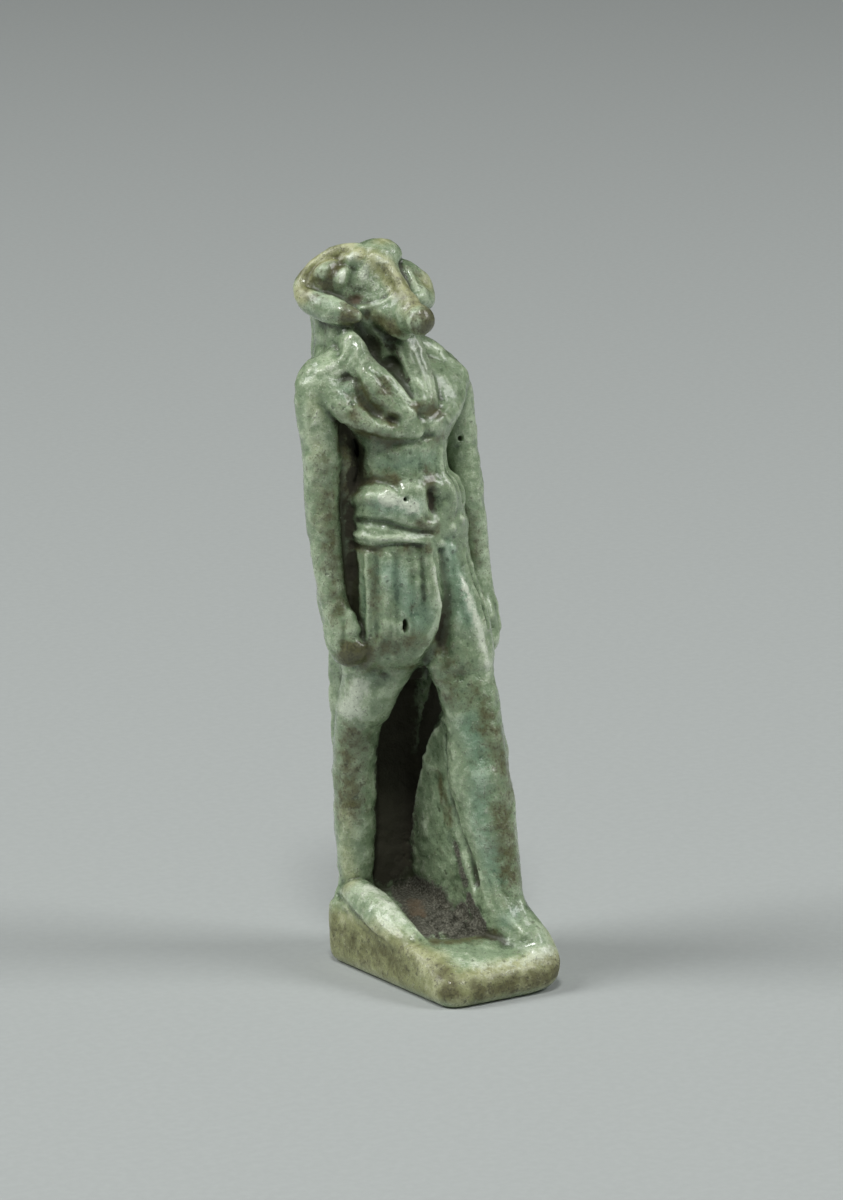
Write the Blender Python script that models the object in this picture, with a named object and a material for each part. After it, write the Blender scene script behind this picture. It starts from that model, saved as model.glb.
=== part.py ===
"""A small moulded faience amulet: a striding ram-headed god on a low base, with a back pillar.

The whole amulet is one piece. Metres, +Z up. The figure faces -Y and its own left is +X.
The origin is the middle of the flat underside of the base.
"""

import bpy
import bmesh
from math import atan, cos, radians, sin, tau
from mathutils import Matrix, Vector

MM = 0.001

# Driving dimensions
FIGURE_HEIGHT = 35.4 * MM
BASE_WIDTH = 7.6 * MM
BASE_DEPTH = 12.0 * MM
BASE_HEIGHT_REAR = 3.6 * MM
BASE_HEIGHT_FRONT = 2.3 * MM
BASE_CORNER_RADIUS = 0.85 * MM
BASE_RIM_RADIUS = 0.65 * MM
BASE_FOOT_RADIUS = 0.4 * MM
BASE_WORN_CORNER = 1.3 * MM
BASE_WORN_WIDTH = 2.4 * MM
PILLAR_WIDTH = 5.5 * MM
PILLAR_DEPTH = 1.3 * MM
PILLAR_EDGE_RADIUS = 0.3 * MM
UNDERSIDE_TRIM = 0.12 * MM
LEAN_BACK = atan(0.060)
LEAN_TO_RIGHT = atan(0.020)

# The figure is drawn on a grid. One grid unit is a fixed share of its height.
# GRID_REAR is the back of the pillar, and GRID_GROUND the top of the base below the body.
# GRID_FRONT is the front of the base, which the forward foot keeps its distance to.
FIGURE_GRID_UNITS = 35.4
GRID_REAR = 5.65
GRID_FRONT = -6.35
GRID_GROUND = 2.7
LEAN_CENTRE_Y = 2.5
PILLAR_TOP_Z = 35.6

# The belt and the pleats below it, on the grid. An angle of 270 degrees is the middle of the front.
BELT_Z = 22.75
BELT_CENTRE_Y = 1.2
BELT_RADII = (3.18, 2.0)
BELT_THICKNESS = 0.26
BELT_STEPS = 16
PLEAT_ANGLES = (198, 214, 230, 247)
PLEAT_TOP_Z, PLEAT_MIDDLE_Z, PLEAT_FOOT_Z = 22.2, 19.6, 17.0
PLEAT_THICKNESS = 0.23

# Fineness of the faceted solid
VOXELS_IN_HEIGHT = 240
SMOOTH_PASSES = 5
SMOOTH_FACTOR = 0.5
KEPT_SHARE_OF_FACES = 0.07
BALL_DETAIL = 3
RING_POINTS = 48
EDGE_STEP_DEGREES = 15
CUTTER_REACH = 2 * FIGURE_HEIGHT

# Finish
GLAZE_COLOUR = (0.27, 0.36, 0.27, 1.0)
GLAZE_ROUGHNESS = 0.38

UNIT = FIGURE_HEIGHT / FIGURE_GRID_UNITS
BASE_HEIGHT = (BASE_HEIGHT_REAR + BASE_HEIGHT_FRONT) / 2
GRID_INSIDE_PILLAR = GRID_REAR - PILLAR_DEPTH / UNIT / 2
LEFT, RIGHT = 1, -1


def clear_scene():
    """Removes the objects that the scene starts with."""
    for thing in list(bpy.data.objects):
        bpy.data.objects.remove(thing, do_unlink=True)


def grid_point(x, y, z):
    """A grid position in metres, before the figure leans."""
    rear = BASE_DEPTH / 2
    return Vector((x * UNIT, rear + (y - GRID_REAR) * UNIT, BASE_HEIGHT + (z - GRID_GROUND) * UNIT))


def stride_point(x, y, z):
    """A grid position that keeps its place along the base's depth, for the forward foot."""
    share = (y - GRID_FRONT) / (GRID_REAR - GRID_FRONT)
    point = grid_point(x, y, z)
    point.y = -BASE_DEPTH / 2 + share * BASE_DEPTH
    return point


def lean_matrix():
    """Tips the figure a little backwards and to its right about the top of the base."""
    centre = grid_point(0, LEAN_CENTRE_Y, GRID_GROUND)
    tip_back = Matrix.Rotation(-LEAN_BACK, 4, "X")
    tip_right = Matrix.Rotation(-LEAN_TO_RIGHT, 4, "Y")
    return Matrix.Translation(centre) @ tip_back @ tip_right @ Matrix.Translation(-centre)


def ball_directions():
    """The corner directions of a finely divided unit ball."""
    ball = bmesh.new()
    bmesh.ops.create_icosphere(ball, subdivisions=BALL_DETAIL, radius=1.0)
    directions = [corner.co.copy() for corner in ball.verts]
    ball.free()
    return directions


def oval_share(part, power):
    """A superellipse's share of its half width, for a sine or cosine."""
    return (1 if part >= 0 else -1) * abs(part) ** (2 / power)


class Form:
    """A mesh that collects closed shells, which are later fused to one skin."""

    def __init__(self):
        self.mesh = bmesh.new()
        self.placing = Matrix.Identity(4)
        self.ball = ball_directions()

    def hull(self, points):
        """Adds the closed hull round some points."""
        corners = [self.mesh.verts.new(self.placing @ point) for point in points]
        result = bmesh.ops.convex_hull(self.mesh, input=corners, use_existing_faces=False)
        inside = [item for item in result["geom_interior"] if isinstance(item, bmesh.types.BMVert)]
        bmesh.ops.delete(self.mesh, geom=inside, context="VERTS")

    def limb(self, stations, place=grid_point):
        """Adds a rounded limb through stations of (x, y, z, radius)."""
        for segment in zip(stations, stations[1:]):
            shell = []
            for x, y, z, radius in segment:
                centre = place(x, y, z)
                shell += [centre + direction * radius * UNIT for direction in self.ball]
            self.hull(shell)

    def oval(self, centre, radii, dip=0.0, place=grid_point):
        """Adds an egg shape. dip turns it about the X axis, in degrees, its front going down."""
        middle = place(*centre)
        turn = Matrix.Rotation(radians(dip), 3, "X")
        shell = []
        for direction in self.ball:
            stretched = Vector([part * radius * UNIT for part, radius in zip(direction, radii)])
            shell.append(middle + turn @ stretched)
        self.hull(shell)

    def block(self, low, high, radius):
        """Adds a block with rounded edges between two corners in metres."""
        shell = []
        for index in range(8):
            corner = [high[axis] - radius if index >> axis & 1 else low[axis] + radius for axis in range(3)]
            shell += [Vector(corner) + direction * radius for direction in self.ball]
        self.hull(shell)

    def stack(self, levels, power=2.0):
        """Adds a body of oval slices, each (z, middle x, middle y, half width, half depth)."""
        rings = []
        for z, x, y, half_width, half_depth in levels:
            ring = []
            for step in range(RING_POINTS):
                angle = tau * step / RING_POINTS
                across = oval_share(cos(angle), power)
                along = oval_share(sin(angle), power)
                point = grid_point(x + half_width * across, y + half_depth * along, z)
                ring.append(self.mesh.verts.new(self.placing @ point))
            rings.append(ring)
        for lower, upper in zip(rings, rings[1:]):
            for step in range(RING_POINTS):
                after = (step + 1) % RING_POINTS
                self.mesh.faces.new((lower[step], lower[after], upper[after], upper[step]))
        self.mesh.faces.new(list(reversed(rings[0])))
        self.mesh.faces.new(rings[-1])


def rounded_corner(centre, radius):
    """Points of a disc with a round rim, which make one rounded corner of the base."""
    radius = min(radius, BASE_CORNER_RADIUS)
    points = []
    for step in range(RING_POINTS):
        turn = tau * step / RING_POINTS
        for pitch in range(-90, 91, EDGE_STEP_DEGREES):
            reach = BASE_CORNER_RADIUS - radius + radius * cos(radians(pitch))
            offset = Vector((reach * cos(turn), reach * sin(turn), radius * sin(radians(pitch))))
            points.append(centre + offset)
    return points


def base_top(y):
    """The height of the base's top, which falls towards the front."""
    share = y / BASE_DEPTH + 0.5
    return BASE_HEIGHT_FRONT + share * (BASE_HEIGHT_REAR - BASE_HEIGHT_FRONT)


def add_base(form):
    """The low block under the feet, with the top of its right front corner worn back."""
    corner_x = BASE_WIDTH / 2 - BASE_CORNER_RADIUS
    corner_y = BASE_DEPTH / 2 - BASE_CORNER_RADIUS
    shell = []
    for x in (-corner_x, corner_x):
        for y in (-corner_y, corner_y):
            foot = Vector((x, y, BASE_FOOT_RADIUS - UNDERSIDE_TRIM))
            shell += rounded_corner(foot, BASE_FOOT_RADIUS)
    rims = [(-corner_x, corner_y), (corner_x, corner_y), (corner_x, -corner_y),
            (BASE_WORN_WIDTH - corner_x, -corner_y), (-corner_x, BASE_WORN_CORNER - corner_y)]
    for x, y in rims:
        edge_y = y + BASE_CORNER_RADIUS * (1 if y > 0 else -1)
        shell += rounded_corner(Vector((x, y, base_top(edge_y) - BASE_RIM_RADIUS)), BASE_RIM_RADIUS)
    form.hull(shell)


def add_pillar(form):
    """The upright slab behind the figure, flush with the back of the base."""
    rear = grid_point(0, GRID_REAR, 0).y
    low = (-PILLAR_WIDTH / 2, rear - PILLAR_DEPTH, BASE_HEIGHT / 2)
    high = (PILLAR_WIDTH / 2, rear, grid_point(0, 0, PILLAR_TOP_Z).z)
    form.block(low, high, PILLAR_EDGE_RADIUS)


def add_back_fill(form):
    """The fill between the pillar and the arms. Each level is (z, middle x, front y, half width)."""
    levels = []
    for z, x, front, half_width in ((14.6, 0.0, 2.9, 2.5), (17.2, 0.0, 2.5, 3.2), (19.0, -0.1, 2.4, 3.9),
                                    (25.0, -0.1, 2.4, 4.0), (29.5, -0.2, 2.4, 4.1), (31.6, -0.2, 2.6, 3.4)):
        middle = (front + GRID_INSIDE_PILLAR) / 2
        levels.append((z, x, middle, half_width, GRID_INSIDE_PILLAR - middle))
    form.stack(levels, 3.0)


def add_legs(form):
    """The right leg against the pillar, the left one advanced."""
    form.limb([(-1.8, 2.3, 17.5, 1.45), (-2.0, 3.0, 14.9, 1.28), (-2.1, 4.0, 12.3, 1.22),
               (-2.1, 4.4, 9.8, 1.15), (-2.12, 4.55, 7.1, 1.05), (-2.2, 4.6, 4.6, 0.98),
               (-2.3, 4.5, 3.2, 1.0)])
    form.limb([(2.1, 0.6, 18.0, 1.65), (2.1, -0.35, 14.8, 1.52), (2.15, -0.85, 11.6, 1.55)])
    form.limb([(2.15, -0.85, 11.6, 1.55), (2.15, -1.15, 9.5, 1.58), (2.15, -1.75, 7.5, 1.4),
               (2.15, -2.2, 5.4, 1.2), (2.1, -2.6, 3.9, 1.12), (2.1, -2.75, 2.4, 1.15)], stride_point)


def add_web(form):
    """The fill between the forward leg and the pillar."""
    web = []
    for x in (0.95, 2.6):
        web += [grid_point(x, GRID_INSIDE_PILLAR, 1.6), grid_point(x, GRID_INSIDE_PILLAR, 17.0)]
        web += [grid_point(x, -0.6, 17.0), stride_point(x, -2.2, 1.6)]
    form.hull(web)


def add_feet(form):
    """The feet. The right one reaches the edge of the base, the left one is low and wide."""
    form.limb([(-2.3, 4.5, 3.3, 1.0), (-2.6, 2.4, 3.25, 1.1), (-2.75, 0.9, 2.7, 1.1),
               (-2.75, -0.8, 1.95, 1.0)])
    form.limb([(2.0, -2.2, 2.7, 1.1), (2.2, -3.5, 2.3, 1.1), (2.35, -4.6, 1.6, 1.1)], stride_point)
    form.oval((2.2, -4.0, 1.75), (1.35, 1.7, 0.95), 8, stride_point)


def add_kilt(form):
    """The wrapped kilt with its overlapping front edge."""
    form.stack([(15.9, -0.2, 2.3, 2.7, 1.8), (16.6, -0.1, 1.8, 3.1, 2.25), (18.2, 0.1, 1.45, 3.3, 2.3),
                (20.5, 0.05, 1.25, 3.3, 2.15), (23.3, 0.0, 1.2, 3.2, 2.0)], 2.3)
    form.oval((-1.85, 2.6, 16.2), (1.45, 1.65, 1.5))
    form.limb([(1.6, 0.9, 21.0, 1.5), (1.85, 0.4, 18.0, 1.72), (2.05, 0.0, 16.2, 1.62)])
    form.limb([(0.0, -0.7, 22.2, 0.24), (-0.1, -0.85, 20.5, 0.26), (0.25, -0.95, 18.9, 0.28),
               (0.0, -0.65, 17.7, 0.3), (-0.7, 0.0, 16.7, 0.3), (-1.8, 0.7, 16.0, 0.3)])


def add_belt_and_pleats(form):
    """The belt round the waist, and the ridges of the pleats on the right front of the kilt."""
    belt = []
    for step in range(BELT_STEPS + 1):
        angle = tau * step / BELT_STEPS
        x = BELT_RADII[0] * cos(angle)
        y = BELT_CENTRE_Y + BELT_RADII[1] * sin(angle)
        belt.append((x, y, BELT_Z, BELT_THICKNESS))
    form.limb(belt)
    for degrees in PLEAT_ANGLES:
        across = cos(radians(degrees))
        along = sin(radians(degrees))
        form.limb([(3.2 * across, 1.2 + 2.0 * along, PLEAT_TOP_Z, PLEAT_THICKNESS),
                   (3.3 * across, 1.35 + 2.15 * along, PLEAT_MIDDLE_Z, PLEAT_THICKNESS),
                   (3.2 * across, 1.7 + 2.1 * along, PLEAT_FOOT_Z, PLEAT_THICKNESS)])


def add_torso(form):
    """The belly that rolls over the belt, the drawn-in waist and the chest that stands out over it."""
    form.stack([(22.8, 0.0, 1.2, 3.2, 2.05), (24.5, 0.05, 1.15, 3.25, 2.2), (25.5, 0.1, 1.1, 3.1, 2.25),
                (26.1, 0.05, 1.2, 2.8, 2.0), (27.4, 0.0, 1.25, 2.8, 1.95), (28.4, 0.0, 1.3, 3.3, 2.3),
                (29.6, 0.0, 1.6, 3.8, 2.3), (30.8, 0.0, 2.2, 3.9, 1.9), (31.7, 0.0, 2.9, 3.2, 1.4)], 2.2)
    for side in (LEFT, RIGHT):
        form.oval((side * 1.9, 0.5, 29.3), (1.7, 1.45, 1.2))


def add_arm(form, side, stations, fist):
    """An arm hanging straight at the side, closed in a fist with its thumb in front."""
    form.limb([(side * x, y, z, radius) for x, y, z, radius in stations])
    x, y, z = fist
    form.oval((side * x, y, z), (0.85, 1.1, 1.15), 10)
    form.limb([(side * (x - 0.15), y - 0.75, z + 0.75, 0.36), (side * (x - 0.2), y - 0.95, z - 0.3, 0.36)])


def add_arms(form):
    """Both arms. The left one hangs a little lower."""
    add_arm(form, RIGHT, [(1.6, 3.2, 32.2, 0.9), (3.2, 2.8, 31.4, 1.1), (4.1, 2.75, 30.85, 1.17),
                          (4.3, 2.5, 28.0, 1.02), (4.35, 2.5, 24.3, 0.92), (4.3, 2.25, 20.6, 0.78),
                          (4.1, 1.75, 18.6, 0.8)], (4.05, 1.5, 18.1))
    add_arm(form, LEFT, [(1.6, 3.0, 32.2, 0.9), (2.9, 2.6, 31.3, 0.95), (3.5, 2.3, 30.0, 1.25),
                         (3.85, 2.2, 28.0, 1.05), (4.1, 1.9, 24.0, 0.95), (4.35, 1.6, 20.2, 0.8),
                         (4.4, 1.3, 18.4, 0.8)], (4.35, 1.1, 17.4))


def add_wig(form):
    """The long wig: a mass behind the head that rests on the shoulders, and two lappets in front."""
    form.stack([(30.4, -0.1, 4.1, 3.0, 1.3), (31.6, -0.2, 3.9, 3.15, 1.6), (32.8, -0.3, 3.9, 2.7, 1.75),
                (34.4, -0.1, 3.9, 2.6, 1.75), (36.0, 0.0, 3.9, 2.3, 1.6), (36.9, 0.0, 3.8, 1.6, 1.1)], 2.4)
    form.limb([(0, 2.9, 30.9, 1.7), (0, 2.7, 34.2, 1.3)])
    for side, shift in ((LEFT, -0.45), (RIGHT, 0.0)):
        for inward in (0.0, 0.7):
            form.limb([(side * (2.2 + shift - inward * 0.4), 2.6, 33.3, 0.6),
                       (side * (2.45 + shift - inward), 1.1, 31.8, 0.6),
                       (side * (2.2 + shift - inward), -0.05, 30.3, 0.6),
                       (side * (1.95 + shift - inward * 1.2), -0.6, 28.9, 0.6)])


def add_head(form):
    """The ram's head: skull, long nose with its ball, deep jaw, brows, cheeks and ears."""
    form.oval((0, 3.0, 36.1), (1.6, 1.9, 1.8))
    form.limb([(0, 2.45, 37.05, 0.97), (0, 0.85, 35.75, 0.78), (0, -0.35, 34.7, 0.62)])
    form.limb([(0, 2.0, 35.8, 1.4), (0, 0.7, 34.9, 0.95), (0, -0.3, 34.2, 0.62)])
    form.oval((0, -0.95, 34.0), (0.68, 0.66, 0.7))
    form.limb([(0, 2.4, 34.4, 1.05), (0, 1.2, 33.9, 0.8), (0, 0.25, 33.65, 0.62), (0, -0.4, 33.85, 0.5)])
    for side in (LEFT, RIGHT):
        form.limb([(side * 0.6, 2.3, 37.2, 0.34), (side * 0.7, 1.0, 36.35, 0.34),
                   (side * 0.6, 0.0, 35.6, 0.32), (side * 0.42, -0.4, 34.9, 0.3)])
        form.oval((side * 1.2, 1.75, 35.65), (0.78, 1.25, 0.95))
    form.oval((-2.2, 3.5, 35.9), (1.0, 1.2, 0.9))
    form.oval((1.7, 3.3, 35.45), (0.8, 1.1, 0.85))


def add_horns(form):
    """The horns, which curl back round the ears and forward again under them. The left one is lower."""
    form.limb([(-0.7, 3.2, 37.8, 0.45), (-1.4, 3.9, 37.55, 0.5), (-2.35, 4.5, 36.85, 0.55),
               (-3.3, 4.75, 35.95, 0.62), (-3.3, 4.1, 35.2, 0.68), (-2.9, 2.8, 34.9, 0.72),
               (-2.35, 1.9, 34.95, 0.55)])
    form.limb([(0.5, 3.8, 36.9, 0.45), (1.3, 3.9, 36.35, 0.45), (2.0, 4.0, 35.9, 0.5),
               (2.6, 3.7, 35.5, 0.56), (2.75, 3.2, 35.05, 0.63), (2.6, 2.5, 34.9, 0.66),
               (2.25, 1.75, 34.95, 0.55)])


def new_glaze():
    """The pale green glaze."""
    glaze = bpy.data.materials.new("faience glaze")
    glaze.use_nodes = True
    shader = glaze.node_tree.nodes["Principled BSDF"]
    shader.inputs["Base Color"].default_value = GLAZE_COLOUR
    shader.inputs["Roughness"].default_value = GLAZE_ROUGHNESS
    shader.inputs["Metallic"].default_value = 0.0
    return glaze


def new_object(name, form):
    """Makes an object of a form's shells."""
    bmesh.ops.recalc_face_normals(form.mesh, faces=form.mesh.faces)
    mesh = bpy.data.meshes.new(name)
    form.mesh.to_mesh(mesh)
    form.mesh.free()
    thing = bpy.data.objects.new(name, mesh)
    bpy.context.scene.collection.objects.link(thing)
    return thing


def new_ground_cutter():
    """A block whose top is the plane that the amulet stands on."""
    form = Form()
    reach = (-CUTTER_REACH, CUTTER_REACH)
    form.hull([Vector((x, y, z)) for x in reach for y in reach for z in (-CUTTER_REACH, 0.0)])
    cutter = new_object("ground_cutter", form)
    cutter.hide_render = True
    cutter.display_type = "WIRE"
    return cutter


def fuse(thing, cutter):
    """Fuses the shells to one skin, thins its faces and cuts the underside flat."""
    skin = thing.modifiers.new("one skin", "REMESH")
    skin.mode = "VOXEL"
    skin.voxel_size = (FIGURE_HEIGHT + BASE_HEIGHT) / VOXELS_IN_HEIGHT
    soften = thing.modifiers.new("softened by the mould", "SMOOTH")
    soften.iterations = SMOOTH_PASSES
    soften.factor = SMOOTH_FACTOR
    thin = thing.modifiers.new("fewer faces", "DECIMATE")
    thin.ratio = KEPT_SHARE_OF_FACES
    ground = thing.modifiers.new("flat underside", "BOOLEAN")
    ground.operation = "DIFFERENCE"
    ground.solver = "EXACT"
    ground.object = cutter


def build():
    """Builds the amulet."""
    clear_scene()
    form = Form()
    add_base(form)
    form.placing = lean_matrix()
    add_pillar(form)
    add_back_fill(form)
    add_legs(form)
    add_web(form)
    add_feet(form)
    add_kilt(form)
    add_belt_and_pleats(form)
    add_torso(form)
    add_arms(form)
    add_wig(form)
    add_head(form)
    add_horns(form)
    amulet = new_object("ram_headed_amulet", form)
    amulet.data.materials.append(new_glaze())
    fuse(amulet, new_ground_cutter())


build()
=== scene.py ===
"""The looks of a small moulded faience amulet: a striding ram-headed god on a low base.

The amulet is sculpted in millimetres, as distances to its skin on a fine grid of points, and the
skin is then meshed. The figure is drawn upright and leans a little over its base, as the real one does.
"""

import bpy
import numpy as np
from mathutils import Matrix, Vector


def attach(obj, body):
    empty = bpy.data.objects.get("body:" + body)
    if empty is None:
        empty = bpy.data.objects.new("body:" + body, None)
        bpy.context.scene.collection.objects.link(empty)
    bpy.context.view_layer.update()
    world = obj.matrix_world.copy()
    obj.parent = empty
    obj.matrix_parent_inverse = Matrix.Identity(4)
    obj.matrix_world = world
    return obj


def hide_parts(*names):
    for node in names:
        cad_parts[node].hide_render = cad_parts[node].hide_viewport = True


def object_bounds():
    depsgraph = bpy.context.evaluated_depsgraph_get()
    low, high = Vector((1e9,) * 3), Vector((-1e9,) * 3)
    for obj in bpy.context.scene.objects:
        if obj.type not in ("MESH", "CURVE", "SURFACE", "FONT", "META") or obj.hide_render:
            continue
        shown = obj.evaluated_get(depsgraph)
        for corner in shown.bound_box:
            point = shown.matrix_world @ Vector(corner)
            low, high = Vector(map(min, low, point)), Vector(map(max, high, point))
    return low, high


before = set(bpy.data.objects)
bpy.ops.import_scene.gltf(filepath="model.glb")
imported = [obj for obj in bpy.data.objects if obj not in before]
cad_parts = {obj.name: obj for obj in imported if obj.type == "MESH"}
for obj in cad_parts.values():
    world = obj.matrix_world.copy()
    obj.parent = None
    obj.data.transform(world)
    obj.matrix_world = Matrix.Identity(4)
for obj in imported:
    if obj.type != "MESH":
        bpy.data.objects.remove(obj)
cad_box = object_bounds()

# The amulet's sizes in millimetres
AMULET_HEIGHT = 38.36
BASE_WIDTH = 7.6
BASE_DEPTH = 12.0
BASE_HEIGHT_REAR = 3.6
BASE_HEIGHT_FRONT = 2.3
PILLAR_WIDTH = 5.5
PILLAR_DEPTH = 1.3
PILLAR_TOP = 35.6
LEAN_BACK = 0.060
LEAN_TO_RIGHT = 0.020
LEAN_CENTRE_Y = 2.5

# Where the figure's own grid meets the base: the pillar's back and the top of the base
GRID_REAR = 5.65
GRID_GROUND = 2.7

# The base's edges. Each worn place is a plane: its outward direction, its distance from the
# middle of the base's foot and how softly it runs into the base
BASE_CORNER = 1.15
TOP_EDGE = 0.7
FOOT_EDGE = 0.95
FOOT_DEPTH = 0.06
WORN_PLACES = (((-0.36, -0.62, 0.70), 5.75, 1.2), ((0.0, -0.41, 0.912), 4.1, 1.2),
               ((0.60, -0.56, -0.57), 4.95, 0.9))

# The heap of dried soil between the feet
HEAP_GRAINS = 420
HEAP_GRAIN_SIZES = (0.1, 0.26)
HEAP_FRONT = -2.35
HEAP_LENGTH = 5.2
HEAP_RIGHT = -2.1
HEAP_TAPER = 0.12
HEAP_LEFT = 0.95
HEAP_FLOOR = 2.26
HEAP_SLOPE = 0.11
HEAP_DEPTH = 0.45

# How the ram's cheeks are turned about X, Y and Z, in degrees
CHEEK_TURNS = (0, 13, 48)

# Fineness of the sculpt, in millimetres and triangles
GRAIN = 0.09
MARGIN = 0.45
FAR = 2.0
SPARE = 0.3
TRIANGLE_BUDGET = 195000
CURVE_STEPS = 5
SETTLE_STEPS = 6
SETTLE_STRIDE = 0.3

# The skin's waves, each with its length and height, and how much of them the skin gets at some
# heights above the floor
WAVES = ((2.3, 0.07), (0.95, 0.065), (0.42, 0.045), (0.21, 0.02))
WAVE_SHARES = ((0.4, 1.6, 3.6), (0.0, 0.5, 1.0))

# How far round a place its hollows are felt, how fast stains and painted light fade, and where the soil and
# painted shade end in front of the pillar's back
CREASE_REACH = 0.3
HOLLOW_REACH = 1.2
STAIN_AND_LIGHT_FADE = 1.2
SOIL_AND_SHADE_LIMIT = 0.4
SOIL_AND_SHADE_FADE = 0.3
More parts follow.
